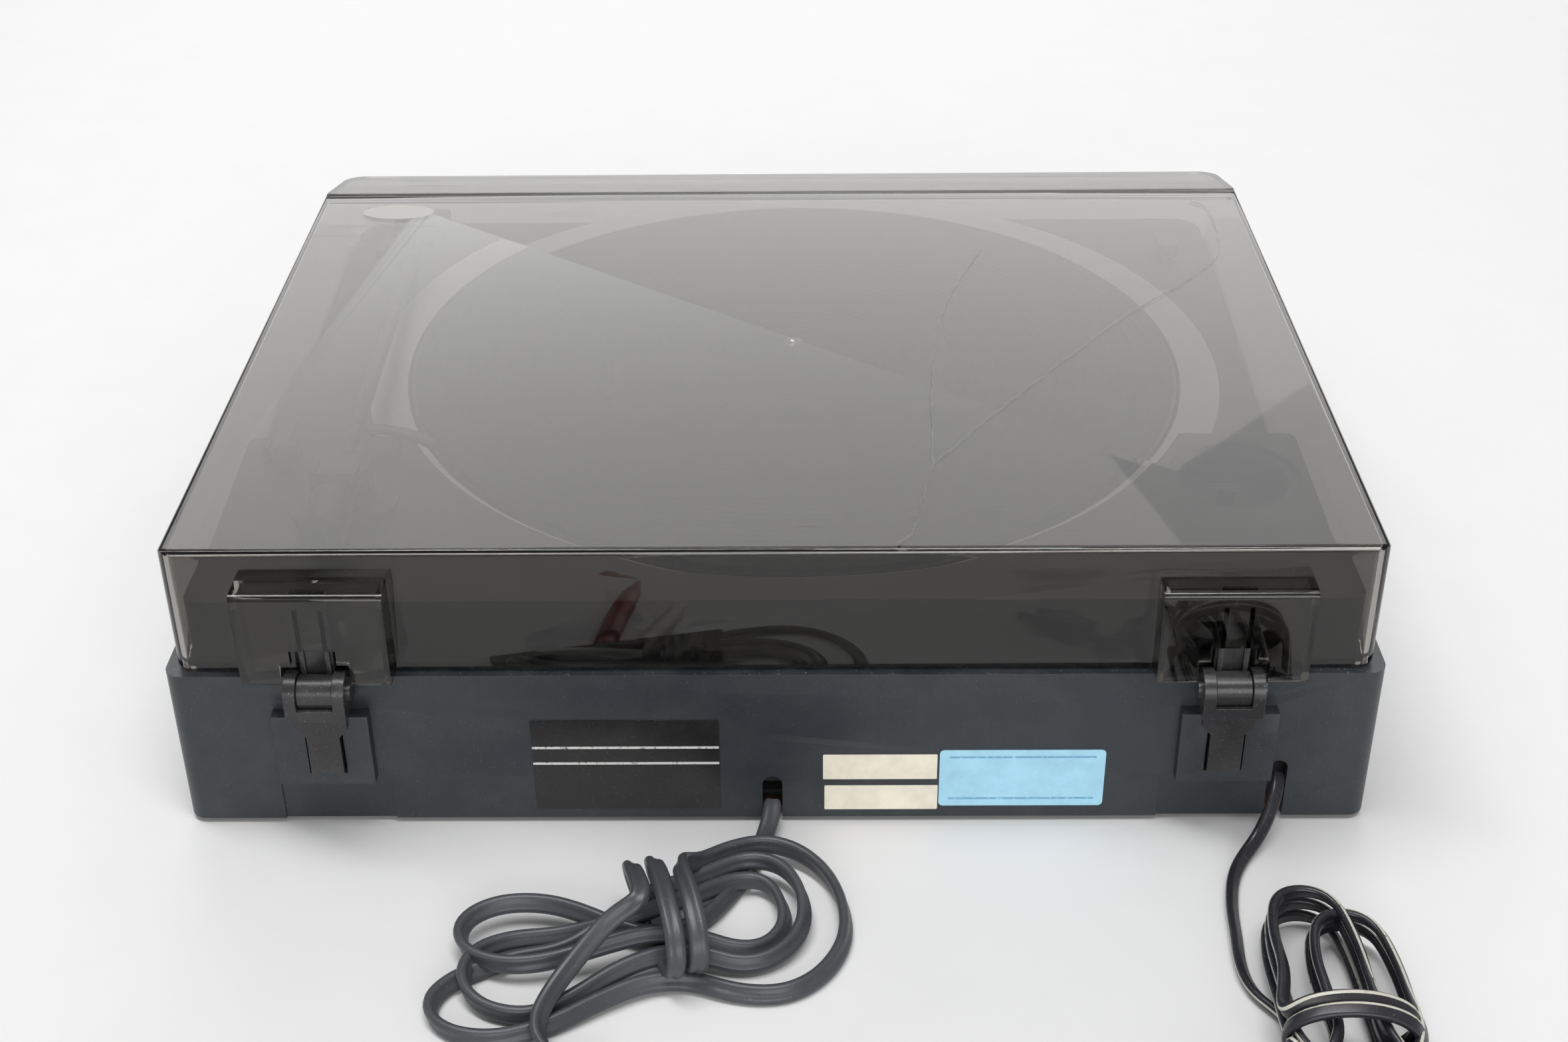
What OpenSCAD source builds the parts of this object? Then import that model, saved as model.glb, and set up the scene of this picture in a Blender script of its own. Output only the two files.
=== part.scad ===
// Belt-driven record player with a smoked dust cover, a rear view object with
// two hanked cords. Millimetres, +Z up, front towards -Y, origin on the table
// under the middle of the player.

/* [Plinth] */
// Width of the plinth across its side walls
plinth_w = 408; // [400:1:520]
// Depth of the plinth from its front wall to its rear wall
plinth_d = 358; // [356:1:460]
// Height of the shoulder that the dust cover closes on
shoulder_z = 62.5; // [60:0.5:80]
// Thickness of the moulded walls
wall = 3; // [2.4:0.1:3.6]
// Plan radius of the plinth's corners
plinth_r = 6; // [4:0.5:10]
// Height of the plinth's lower edge above the table
floor_gap = 2; // [1.8:0.1:4]

/* [Deck] */
// Rise of the front deck above the shoulder
deck_rise = 9; // [7:0.5:12]
// Rise of the rear deck above the shoulder
block_rise = 26; // [24:0.5:30]
// Depth of the raised rear deck
block_d = 107.5; // [95:0.5:112]
// Drop of the trim ring below the rear deck
ring_drop = 2.5; // [1.5:0.5:4]
// Width of the trim ring round the platter
ring_w = 15; // [8:0.5:16]

/* [Platter] */
// Diameter of the platter
platter_dia = 300; // [270:1:304]
// Clearance between the platter and its well
platter_gap = 1.5; // [1:0.1:3]
// Thickness of the rubber mat
mat_t = 2; // [1.5:0.1:3]
// Diameter of the record spindle
spindle_dia = 7.2; // [7:0.05:7.3]
// Height of the spindle above the mat
spindle_rise = 8.5; // [7:0.5:12]

/* [Dust cover] */
// Outer height of the dust cover at its rear wall
lid_h = 45.9; // [45:0.1:60]
// Thickness of the dust cover
lid_t = 2.8; // [2.2:0.1:3.2]
// Gap between the shoulder and the dust cover's rim
lid_gap = 1.6; // [1:0.1:2.5]
// Distance of the dust cover in from the plinth's side walls
lid_inset = 4; // [3:0.5:6]
// Depth of the sloped front of the dust cover
slope_d = 67.6; // [50:0.1:80]
// Angle of the sloped front
slope_angle = 14.1; // [8:0.1:16]

/* [Hinges] */
// Distance of each hinge from the middle of the player
hinge_x = 150.5; // [90:0.5:151]
// Diameter of the hinge knuckle
knuckle_dia = 14.4; // [13:0.1:15]
// Width of the hinge knuckle
knuckle_w = 20; // [18:0.5:22]
// Diameter of the hinge pin
hinge_pin_dia = 4; // [3:0.1:5]
// Distance of the hinge axis behind the plinth's rear wall
hinge_back = 7.8; // [7.6:0.1:9]
// Width of the moulded hinge box on the dust cover
hinge_box_w = 49.6; // [44:0.2:56]

/* [Tonearm] */
// Distance of the tonearm's pivot right of the middle
arm_x = 152; // [150:0.5:156]
// Distance from the pivot to the stylus
arm_length = 209; // [205:1:212]
// Diameter of the arm tube
arm_dia = 5.5; // [4:0.1:6]
// Diameter of the counterweight
counterweight_dia = 15; // [12:0.5:15]

/* [Cords] */
// Width of the twin signal cord
signal_w = 6.4; // [5:0.2:7]
// Width of the flat mains cord
mains_w = 5; // [4:0.2:6]

/* [Hidden] */
$fn = 96;

// clearances
fit = 0.05;     // running fit of a shaft in its bore, on the radius
slip = 0.5;     // a board or a lever in its opening
touch = 0.25;   // gap between neighbours that must not rub

// places along the depth, from the rear wall of the plinth
hinge_reach = hinge_back + knuckle_dia / 2;
rear_y = (plinth_d - hinge_reach) / 2;
front_y = rear_y - plinth_d;
mid_y = (rear_y + front_y) / 2;
lid_rear_y = rear_y - 2.5;
lid_front_y = front_y + 5.5;
lid_d = lid_rear_y - lid_front_y;
lid_w = plinth_w - 2 * lid_inset;
lid_mid_y = (lid_rear_y + lid_front_y) / 2;
axis_y = rear_y + hinge_back;
axis_z = shoulder_z - 0.5;

// the deck stands inside the dust cover
deck_clear = 2;
deck_w = lid_w - 2 * lid_t - 2 * deck_clear - 0.4;
deck_rear_y = lid_rear_y - lid_t - 1.7;
deck_front_y = lid_front_y + lid_t + 2.2;
deck_d = deck_rear_y - deck_front_y;
deck_mid_y = (deck_rear_y + deck_front_y) / 2;
deck_front_r = 12;
deck_z = shoulder_z + deck_rise;
block_z = shoulder_z + block_rise;
block_front_y = deck_rear_y - block_d;

// the platter in its well
platter_x = -9;
platter_y = rear_y - 175.5;
platter_r = platter_dia / 2;
well_r = platter_r + platter_gap;
arc_r = well_r + 4;
ring_z = block_z - ring_drop;
ring_t = 1;
drum_r = well_r + ring_w + 1;
platter_t = 3;
platter_z = ring_z;
skirt_z = deck_z + 2.5;
mat_z = platter_z + mat_t;
hub_r = 14;
hub_z = deck_z + 4.5;
rim_r = 97;
rim_t = 3;
skirt_t = 3.5;
spindle_r = spindle_dia / 2;
sleeve_r = 8;
sleeve_z = 35;
ball_r = 2;
sleeve_flange_t = 2;
bearing_screw_ring = 13;

// the motor under the deck
motor_x = platter_x - 100;
motor_y = platter_y + 75;
motor_angle = atan2(motor_y - platter_y, motor_x - platter_x);
pulley_r = 6;
pulley_low_r = 8.1;
belt_z = hub_z + 0.5;
belt_h = 5;
belt_t = 0.7;
grommet_h = 5.5;
plate_z = deck_z - wall - grommet_h - 1.5;
grommet_ring = 29;
shaft_r = 1.5;

// the return gear beside the hub
gear_r = 37.5;
gear_x = platter_x + 26;
gear_y = platter_y - 45.03;
gear_z = deck_z + 4.9;
gear_t = 3.5;
gear_teeth = 58;
gear_axle_r = 3;

// the tonearm
arm_y = rear_y - 68.5;
arm_z = mat_z + 11;
arm_r = arm_dia / 2;
arm_block_w = 13.6;
arm_block_l = 14;
shell_l = 36;
shell_w = 15;
shell_top = arm_z + 2.5;
shell_y = arm_y - arm_length + 20;
stylus_y = arm_y - arm_length;
yoke_gap = 1.2;
yoke_pin_r = 1.2;
yoke_r = 4;
base_plate_t = 2.5;
stub_r = 2.5;
lifter_r = 40;
lifter_stem_angle = 20;

// the 45 rpm adapter's pocket
pocket_x = -168;
pocket_y = rear_y - 83.8;
pocket_r = 19.6;
pocket_depth = 10;
pocket_step_r = 24;

// levers on the front deck
start_x = 178;
start_y = front_y + 46.5;
speed_x = -176;
speed_y = front_y + 46.5;
lever_travel = 10;
slot_w = 4;

// hinge sockets and openings in the rear wall
socket_w = 32.4;
socket_x = 1.8;
socket_h0 = 21;
socket_h1 = 49.3;
socket_out = 5;
tongue_w = 11.2;
tongue_x = 1;
tongue_y0 = rear_y + 0.3;
tongue_y1 = rear_y + 6.5;
tongue_z0 = 26.6;
channel_w = tongue_w + 1.6;
channel_in = 1.2;
panel_w = 38.5;
panel_in = 0.8;
slot_signal_x = 1;
slot_signal_top = 19.6;
slot_signal_w = 6.8;
slot_mains_x = -171.9;
slot_mains_top = 25.8;
slot_mains_w = 6.2;
ear_w = 4;
leaf_w = knuckle_w - 2 * ear_w - 0.6;
web_z0 = axis_z - 7.4;
web_h = 4.2;
barrel_r = knuckle_dia / 2 - 1.2;
washer_r = 4.6;
pin_head_r = 3.1;
pin_head_h = 1.2;
tongue_lip = 3;
tongue_lip_h = 5;
tongue_chamfer = 3.6;
box_out = 10;
box_z0 = shoulder_z + lid_gap + 0.3;
box_z1 = shoulder_z + lid_gap + lid_h - 10.8;
box_wall = 2.2;
box_r = 2.5;
notch_low_w = knuckle_w + 3;
notch_low_z = axis_z + 10.4;
notch_up_w = 15.2;
notch_up_z = axis_z + 15.9;

// the dust cover's own levels
lid_z0 = shoulder_z + lid_gap;
lid_z1 = lid_z0 + lid_h;
bend_r = 64;
lid_edge_r = 3;
lid_nose_r = 5;
lid_rear_r = 6;
lid_front_r = 16;
badge_t = 0.5;
badge_x = 164;
badge_y = lid_front_y + 77.5;

// the base board and its screws
board_t = 3;
board_z = floor_gap - 0.7;
screw_r = 1.25;

// cords on the table: routes of the loose stretches, at the cord's middle
signal_h = 3.4;
mains_h = 2.8;
signal_route = [[1, 146, 9], [1, 158, 9], [1, 171, 8.5], [1, 176, 7], [3, 182, 3.5],
    [5, 189, 1.8], [7, 196, 1.8], [9, 203, 1.8]];
mains_route = [[-172, 146, 20], [-172, 158, 20.5], [-172, 171, 20], [-171, 177, 17.5],
    [-168, 182, 11.5], [-164, 187, 5], [-158, 194, 2], [-153, 204, 1.5], [-150, 218, 1.5],
    [-149, 232, 1.5], [-148, 246, 1.5], [-150, 258, 1.5], [-157, 268, 1.5]];
// middles and radii of the two ends of each hank, and its height
signal_hank = [[8, 234], 34, [80, 256], 38];
signal_hank_h = 26;
mains_hank = [[-172, 244], 16, [-173, 308], 18];
mains_hank_h = 24;
cord_sides = 8;

// ---- helpers -------------------------------------------------------------

// rectangle with truly round corners, in plan, about its middle
module round_rect(w, d, r) {
    square([w - 2 * r, d], center = true);
    square([w, d - 2 * r], center = true);
    for (sx = [-1, 1], sy = [-1, 1])
        translate([sx * (w / 2 - r), sy * (d / 2 - r)])
            circle(r);
}

// upright block with round corners between two heights
module slab(w, d, r, z0, z1) {
    translate([0, 0, z0])
        linear_extrude(z1 - z0)
            round_rect(w, d, r);
}

// upright cylinder between two heights
module post(r, z0, z1) {
    translate([0, 0, z0])
        cylinder(r = r, h = z1 - z0);
}

// block in plan with one corner radius behind and another in front
module plan_block(w, d, y, rear_r, front_r, z0, z1) {
    translate([0, y, z0])
        linear_extrude(z1 - z0) {
            translate([0, 20])
                round_rect(w, d - 40, rear_r);
            translate([0, -20])
                round_rect(w, d - 40, front_r);
        }
}

// box from its low corner to its high corner
module box(lo, hi) {
    translate(lo)
        cube(hi - lo);
}

// cylinder along X between two places
module bar_x(r, x0, x1) {
    translate([x0, 0, 0])
        rotate([0, 90, 0])
            cylinder(r = r, h = x1 - x0);
}

// cylinder along Y between two places
module bar_y(r, y0, y1) {
    translate([0, y0, 0])
        rotate([-90, 0, 0])
            cylinder(r = r, h = y1 - y0);
}

function arc(cx, cy, r, a0, a1, n) =
    [for (i = [0:n]) [cx + r * cos(a0 + (a1 - a0) * i / n), cy + r * sin(a0 + (a1 - a0) * i / n)]];

// outline of a belt round two circles: middle and radius of each, in order
function belt_outline(c1, r1, c2, r2, n) =
    let (d = norm(c2 - c1), dir = atan2(c2[1] - c1[1], c2[0] - c1[0]), a = acos((r1 - r2) / d))
    concat(arc(c1[0], c1[1], r1, dir + a, dir + 360 - a, n),
        arc(c2[0], c2[1], r2, dir - a, dir + a, round(n / 2)));

// smooth curve through a route's points
function curve_point(p, i, t) =
    let (n = len(p) - 1, a = p[max(i - 1, 0)], b = p[i], c = p[min(i + 1, n)], d = p[min(i + 2, n)])
    0.5 * (2 * b + (c - a) * t + (2 * a - 5 * b + 4 * c - d) * t * t
        + (3 * b - a - 3 * c + d) * t * t * t);

function curve_points(p, per) =
    concat([for (i = [0:len(p) - 2], k = [0:per - 1]) curve_point(p, i, k / per)], [p[len(p) - 1]]);

function unit(v) = v / norm(v);

// flat tube swept along a route, one ring of corners at each point
module swept_cord(route, w, h, per) {
    path = curve_points(route, per);
    last = len(path) - 1;
    rings = [for (i = [0:last])
        let (dir = unit(path[min(i + 1, last)] - path[max(i - 1, 0)]),
            side = unit(cross(dir, [0, 0, 1])),
            up = cross(side, dir))
        for (k = [0:cord_sides - 1])
            let (a = 360 * (k + 0.5) / cord_sides)
            path[i] + side * (w / 2 * cos(a) / cos(180 / cord_sides))
                + up * (h / 2 * sin(a) / cos(180 / cord_sides))];
    walls = [for (i = [0:last - 1], k = [0:cord_sides - 1])
        let (a = i * cord_sides + k, b = i * cord_sides + (k + 1) % cord_sides)
        [a, b, b + cord_sides, a + cord_sides]];
    caps = [[for (k = [cord_sides - 1:-1:0]) k], [for (k = [0:cord_sides - 1]) last * cord_sides + k]];
    polyhedron(points = rings, faces = concat(walls, caps), convexity = 8);
}

// closed solid of a hank: an outline with round ends, standing on the table
module hank_solid(h, height) {
    linear_extrude(height)
        polygon(belt_outline(h[0], h[1], h[2], h[3], 24));
}

// flat label on the rear wall, between two corners in X and Z
module label(x0, x1, z0, z1, r) {
    translate([(x0 + x1) / 2, rear_y + 0.2, (z0 + z1) / 2])
        rotate([90, 0, 0])
            linear_extrude(0.2)
                round_rect(x1 - x0, z1 - z0, r);
}

// ---- housing ---------------------------------------------------------------

module plinth() {
    flange = 14;
    color([0.17, 0.2, 0.23])
    difference() {
        union() {
            difference() {
                translate([0, mid_y])
                    slab(plinth_w, plinth_d, plinth_r, floor_gap, shoulder_z);
                translate([0, mid_y])
                    slab(plinth_w - 2 * wall, plinth_d - 2 * wall, plinth_r - wall + 1,
                        floor_gap - 1, shoulder_z - wall);
                translate([0, (deck_rear_y + deck_front_y) / 2])
                    slab(deck_w - 10, deck_d - 8, 4, shoulder_z - wall - 1, shoulder_z + 1);
            }
            for (p = board_screw_places())
                translate(p)
                    post(5, board_z + board_t, shoulder_z - wall + 0.5);
            for (s = [-1, 1])
                translate([s * (hinge_x + socket_x), 0, 0])
                    box([-socket_w / 2, rear_y - wall, socket_h0],
                        [socket_w / 2, rear_y + socket_out, socket_h1]);
        }
        for (p = board_screw_places())
            translate(p)
                post(screw_r + fit, board_z, 22);
        for (s = [-1, 1]) {
            translate([s * (hinge_x + tongue_x), 0, 0])
                box([-channel_w / 2, rear_y - channel_in, tongue_z0 - 1],
                    [channel_w / 2, rear_y + socket_out + 1, socket_h1 + 1]);
            translate([s * (hinge_x + 0.3), 0, 0])
                box([-panel_w / 2, rear_y - panel_in, floor_gap - 1],
                    [panel_w / 2, rear_y + 1, socket_h0 - 3]);
        }
        cord_slot(slot_signal_x, slot_signal_w, slot_signal_top);
        cord_slot(slot_mains_x, slot_mains_w, slot_mains_top);
    }
}

// slot through the rear wall with a round top, open at the bottom
module cord_slot(x, w, top) {
    translate([x, rear_y - wall - 1, 0]) {
        box([-w / 2, 0, 0], [w / 2, wall + 12, top - w / 2]);
        translate([0, 0, top - w / 2])
            bar_y(w / 2, 0, wall + 12);
    }
}

function board_screw_places() =
    [for (sx = [-1, 0, 1], y = [front_y + 11, rear_y - 11])
        [sx == 0 ? 62 : sx * (plinth_w / 2 - 11), y, 0]];

function foot_places() =
    [for (sx = [-1, 1], y = [front_y + 40, rear_y - 40]) [sx * (plinth_w / 2 - 40), y, 0]];

module base_board() {
    color([0.45, 0.27, 0.15])
    difference() {
        translate([0, mid_y])
            slab(plinth_w - 2 * wall - 2 * slip, plinth_d - 2 * wall - 2 * slip, 3, board_z, board_z + board_t);
        for (p = board_screw_places())
            translate(p)
                post(screw_r + 0.3, 0, 10);
        for (p = foot_places())
            translate(p)
                post(4, 0, 10);
    }
}

module base_screws() {
    color("silver")
    for (p = board_screw_places())
        translate(p) {
            post(3, board_z - 1, board_z);
            post(screw_r, board_z, 18);
        }
}

module feet() {
    color([0.08, 0.08, 0.08])
    for (p = foot_places())
        translate(p) {
            post(9, 0, board_z);
            post(4, board_z, board_z + board_t);
            post(5.5, board_z + board_t, board_z + board_t + 1.5);
        }
}

module deck() {
    skin = wall;
    color([0.1, 0.1, 0.11])
    difference() {
        union() {
            plan_block(deck_w, deck_d, deck_mid_y, 4, deck_front_r, shoulder_z, deck_z);
            translate([platter_x, platter_y])
                post(drum_r, shoulder_z, ring_z - ring_t);
            translate([0, (deck_rear_y + block_front_y) / 2])
                slab(deck_w, block_d, 4, shoulder_z, block_z);
        }
        difference() {
            plan_block(deck_w - 2 * skin, deck_d - 2 * skin, deck_mid_y, 2, deck_front_r - skin,
                shoulder_z - 1, deck_z - skin);
            translate([pocket_x, pocket_y])
                post(pocket_r + 2, block_z - pocket_depth - 2, block_z);
        }
        translate([platter_x, platter_y])
            difference() {
                post(drum_r - skin, shoulder_z - 1, ring_z - ring_t - skin);
                post(well_r + skin, shoulder_z - 2, ring_z);
            }
        difference() {
            translate([0, (deck_rear_y + block_front_y) / 2])
                slab(deck_w - 2 * skin, block_d - 2 * skin, 2, shoulder_z - 1, block_z - skin);
            translate([platter_x, platter_y])
                post(well_r + skin, shoulder_z - 2, block_z);
            translate([pocket_x, pocket_y])
                post(pocket_r + 2, block_z - pocket_depth - 2, block_z);
        }
        translate([platter_x, platter_y]) {
            post(well_r, deck_z, block_z + 1);
            post(arc_r, ring_z - ring_t, block_z + 1);
            post(sleeve_r + fit, deck_z - skin - 1, deck_z + 1);
            for (a = [0:120:240])
                rotate(a)
                    translate([bearing_screw_ring, 0])
                        post(1.3, deck_z - skin - 1, deck_z + 1);
        }
        translate([motor_x, motor_y]) {
            post(12, deck_z - skin - 1, deck_z + 1);
            motor_screw_ring()
                post(shaft_r + fit, deck_z - skin - 1, deck_z - 0.6);
        }
        translate([gear_x, gear_y])
            post(gear_axle_r, deck_z - 2, deck_z + 1);
        translate([pocket_x, pocket_y])
            difference() {
                union() {
                    post(pocket_r, block_z - pocket_depth, block_z + 1);
                    post(pocket_step_r, block_z - 1.4, block_z + 1);
                }
                post(3.6, block_z - pocket_depth - 1, block_z - 4.5);
            }
        translate([arm_x, arm_y])
            post(yoke_r + 5, block_z - skin - 1, block_z + 1);
        translate([arm_x, arm_y])
            rotate(-90 - lifter_stem_angle)
                translate([lifter_r, 0])
                    post(2 + fit, block_z - skin - 1, block_z + 1);
        lever_slot(start_x, start_y);
        lever_slot(speed_x, speed_y);
    }
}

module lever_slot(x, y) {
    translate([x, y])
        box([-slot_w / 2, -4, deck_z - wall - 1], [slot_w / 2, lever_travel + 4, deck_z + 1]);
}

module platter_trim_ring() {
    color([0.55, 0.55, 0.54])
    difference() {
        translate([platter_x, platter_y])
            difference() {
                post(drum_r - 1, ring_z - ring_t, ring_z);
                post(well_r + 0.1, ring_z - 2, ring_z + 1);
            }
        difference() {
            box([-300, block_front_y - 0.2, ring_z - 2], [300, rear_y, ring_z + 1]);
            translate([platter_x, platter_y])
                post(arc_r - 0.2, ring_z - 3, ring_z + 2);
        }
    }
}

module lid_bumpers() {
    color([0.1, 0.1, 0.1])
    for (sx = [-1, 1], y = [front_y + 40, rear_y - 60])
        translate([sx * (lid_w / 2 - lid_t / 2), y])
            slab(2.6, 10, 1, shoulder_z, lid_z0 - 0.1);
}

module rating_plate() {
    color([0.03, 0.03, 0.03])
        label(18.8, 82.7, 5.9, 43.8, 0.6);
}

// two small stickers, one above the other
module date_labels() {
    color([0.85, 0.82, 0.7]) {
        label(-55.4, -16.4, 18.5, 29, 0.4);
        label(-55.8, -16.9, 5.3, 15.7, 0.4);
    }
}

module approval_label() {
    color([0.35, 0.65, 0.8])
        label(-112.7, -56.2, 6.8, 30.8, 1.6);
}

// ---- hinges ----------------------------------------------------------------

// fixed half: two round ears on a web whose tongue stands in the socket
module hinge_body(side) {
    r = knuckle_dia / 2;
    lip_y = rear_y + socket_out + 0.2;
    lip_w = tongue_w + 2 * tongue_lip;
    color([0.05, 0.05, 0.05])
    translate([side * hinge_x, 0, 0])
    difference() {
        union() {
            for (s = [-1, 1])
                translate([s * (knuckle_w - ear_w) / 2, axis_y, axis_z]) {
                    bar_x(r, -ear_w / 2, ear_w / 2);
                    box([-ear_w / 2, -r, web_z0 - axis_z], [ear_w / 2, r, 0]);
                }
            difference() {
                box([-knuckle_w / 2, axis_y - r, web_z0], [knuckle_w / 2, axis_y + r, web_z0 + web_h]);
                translate([0, axis_y, axis_z])
                    bar_x(barrel_r + touch, ear_w - knuckle_w / 2, knuckle_w / 2 - ear_w);
            }
            translate([side * tongue_x, 0, 0]) {
                box([-lip_w / 2, tongue_y0, socket_h1 + 0.4], [lip_w / 2, tongue_y1, web_z0 + 1]);
                box([-tongue_w / 2, tongue_y0, tongue_z0], [tongue_w / 2, tongue_y1, socket_h1 + 1]);
                translate([0, tongue_y1, socket_h1 + 1])
                    rotate([90, 0, 0])
                        linear_extrude(tongue_y1 - lip_y)
                            polygon([[-lip_w / 2, 0], [lip_w / 2, 0], [lip_w / 2, -tongue_lip_h],
                                [tongue_w / 2, -tongue_lip_h - tongue_chamfer],
                                [-tongue_w / 2, -tongue_lip_h - tongue_chamfer],
                                [-lip_w / 2, -tongue_lip_h]]);
            }
        }
        translate([0, axis_y, axis_z])
            bar_x(hinge_pin_dia / 2 + fit, -knuckle_w, knuckle_w);
    }
}

module hinge_pin(side) {
    color("silver")
        translate([side * hinge_x, axis_y, axis_z]) {
            bar_x(hinge_pin_dia / 2, -knuckle_w / 2, knuckle_w / 2);
            for (s = [-1, 1])
                bar_x(pin_head_r, min(s * knuckle_w / 2, s * (knuckle_w / 2 + pin_head_h)),
                    max(s * knuckle_w / 2, s * (knuckle_w / 2 + pin_head_h)));
        }
}

module hinge_washers() {
    color("gray")
    for (s = [-1, 1], t = [-1, 1])
        translate([s * hinge_x + t * (leaf_w / 2 + 0.15), axis_y, axis_z])
            difference() {
                bar_x(washer_r, -0.1, 0.1);
                bar_x(hinge_pin_dia / 2 + fit, -1, 1);
            }
}

// moving half: barrel on the pin and a ribbed plate up into the cover's box
module hinge_leaf(side) {
    plate_y1 = lid_rear_y + box_out - box_wall;
    plate_t = 2.4;
    rib_in = 1.5;
    rib_x = leaf_w / 2 - rib_in;
    color([0.06, 0.06, 0.06])
    translate([side * hinge_x, 0, 0])
    difference() {
        union() {
            translate([0, axis_y, axis_z])
                bar_x(barrel_r, -leaf_w / 2, leaf_w / 2);
            box([-leaf_w / 2, plate_y1 - plate_t - 1.6, axis_z], [leaf_w / 2, plate_y1 - 1.6, box_z1 - box_wall]);
            for (s = [-1, 1])
                box([s * rib_x - 0.8, plate_y1 - 2, axis_z + 2], [s * rib_x + 0.8, plate_y1, box_z1 - box_wall - 4]);
        }
        translate([0, axis_y, axis_z])
            bar_x(hinge_pin_dia / 2 + fit, -leaf_w, leaf_w);
    }
}

// ---- dust cover --------------------------------------------------------------

// side outline of the cover, grown inwards by t: flat top, bend, sloped front
function lid_side(t) =
    let (y1 = lid_rear_y - t, y0 = lid_front_y + t, top = lid_z1 - t,
        bend = lid_front_y + slope_d, rb = bend_r - t, rr = max(lid_edge_r - t, 0.4),
        rf = max(lid_nose_r - t, 1),
        slope_y = bend - bend_r * sin(slope_angle),
        slope_z = lid_z1 - bend_r * (1 - cos(slope_angle)),
        // height at which the slope, set in by t, meets the front wall set in by t
        fz = slope_z - (slope_y - lid_front_y) * tan(slope_angle)
            - t / cos(slope_angle) + t * tan(slope_angle))
    concat([[y0, lid_z0 - (t > 0 ? 1 : 0)], [y1, lid_z0 - (t > 0 ? 1 : 0)]],
        arc(y1 - rr, top - rr, rr, 0, 90, 5),
        arc(bend, lid_z1 - bend_r, rb, 90, 90 + slope_angle, 6),
        arc(y0 + rf, fz - rf * (1 / cos(slope_angle) - tan(slope_angle)), rf, 90 + slope_angle, 180, 5));

// the cover's solid form, grown inwards by t
module lid_form(t) {
    rear_r = max(lid_rear_r - t, 1);
    front_r = lid_front_r - t;
    edge_r = max(lid_edge_r - t, 0.4);
    intersection() {
        translate([-lid_w / 2 + t, 0, 0])
            rotate([90, 0, 90])
                linear_extrude(lid_w - 2 * t)
                    polygon(lid_side(t));
        translate([0, 0, lid_z0 - 5])
            linear_extrude(lid_h + 10)
                union() {
                    translate([0, lid_mid_y + 20])
                        round_rect(lid_w - 2 * t, lid_d - 2 * t - 40, rear_r);
                    translate([0, lid_mid_y - 20])
                        round_rect(lid_w - 2 * t, lid_d - 2 * t - 40, front_r);
                }
        translate([0, lid_rear_y + 5, 0])
            rotate([90, 0, 0])
                linear_extrude(lid_d + 10)
                    union() {
                        translate([-lid_w / 2 + t, lid_z0 - 10])
                            square([lid_w - 2 * t, lid_h - t + 10 - edge_r]);
                        translate([-lid_w / 2 + t + edge_r, lid_z0 - 10])
                            square([lid_w - 2 * t - 2 * edge_r, lid_h - t + 10]);
                        for (s = [-1, 1])
                            translate([s * (lid_w / 2 - t - edge_r), lid_z1 - t - edge_r])
                                circle(edge_r);
                    }
    }
}

// side outline of a hinge box with its upper rear edge rounded
module hinge_box_side(t) {
    y1 = lid_rear_y + box_out - t;
    z1 = box_z1 - t;
    r = max(box_r - t, 0.3);
    polygon(concat([[lid_rear_y - 0.5 + (t > 0 ? 0.5 : 0), box_z0 - t], [y1, box_z0 - t]],
        arc(y1 - r, z1 - r, r, 0, 90, 5), [[lid_rear_y - 0.5 + (t > 0 ? 0.5 : 0), z1]]));
}

// hollow box moulded on the rear wall, notched for the knuckle
module hinge_box(x) {
    out_y = lid_rear_y + box_out;
    translate([x, 0, 0])
    difference() {
        translate([-hinge_box_w / 2, 0, 0])
            rotate([90, 0, 90])
                linear_extrude(hinge_box_w)
                    hinge_box_side(0);
        translate([-hinge_box_w / 2 + box_wall, 0, 0])
            rotate([90, 0, 90])
                linear_extrude(hinge_box_w - 2 * box_wall)
                    hinge_box_side(box_wall);
        box([-notch_low_w / 2, out_y - box_wall - 1, box_z0 - 1],
            [notch_low_w / 2, out_y + 1, notch_low_z]);
        box([-notch_up_w / 2, out_y - box_wall - 1, box_z0],
            [notch_up_w / 2, out_y + 1, notch_up_z]);
    }
}

module badge_shape(z0, z1) {
    translate([badge_x, badge_y, z0])
        scale([2.1, 2.1, 1])
            linear_extrude(z1 - z0)
                polygon([for (i = [0:35]) [7.3 * cos(i * 10), 3.5 * sin(i * 10)]]);
}

module lid() {
    color([0.25, 0.24, 0.23, 0.5])
    difference() {
        union() {
            difference() {
                lid_form(0);
                lid_form(lid_t);
            }
            for (s = [-1, 1])
                hinge_box(s * hinge_x);
        }
        badge_shape(lid_z1 - badge_t, lid_z1 + 1);
    }
}

module lid_badge() {
    color([0.75, 0.74, 0.72])
        badge_shape(lid_z1 - badge_t, lid_z1);
}

// ---- platter and drive -------------------------------------------------------

module platter() {
    color([0.2, 0.2, 0.21])
    translate([platter_x, platter_y])
    difference() {
        post(platter_r, platter_z - platter_t, platter_z);
        post(spindle_r + fit, skirt_z, platter_z + 1);
    }
}

// a ring that hangs from the platter's disc
module platter_ring(r, t, z0) {
    color([0.2, 0.2, 0.21])
    translate([platter_x, platter_y])
    difference() {
        post(r, z0, platter_z - platter_t);
        post(r - t, z0 - 1, platter_z);
    }
}

module platter_skirt() {
    platter_ring(platter_r, skirt_t, skirt_z);
}

// the ring that the belt runs on
module platter_belt_rim() {
    platter_ring(rim_r, rim_t, hub_z - 1);
}

module platter_hub() {
    platter_ring(hub_r, hub_r - spindle_r - fit, hub_z);
}

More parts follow.
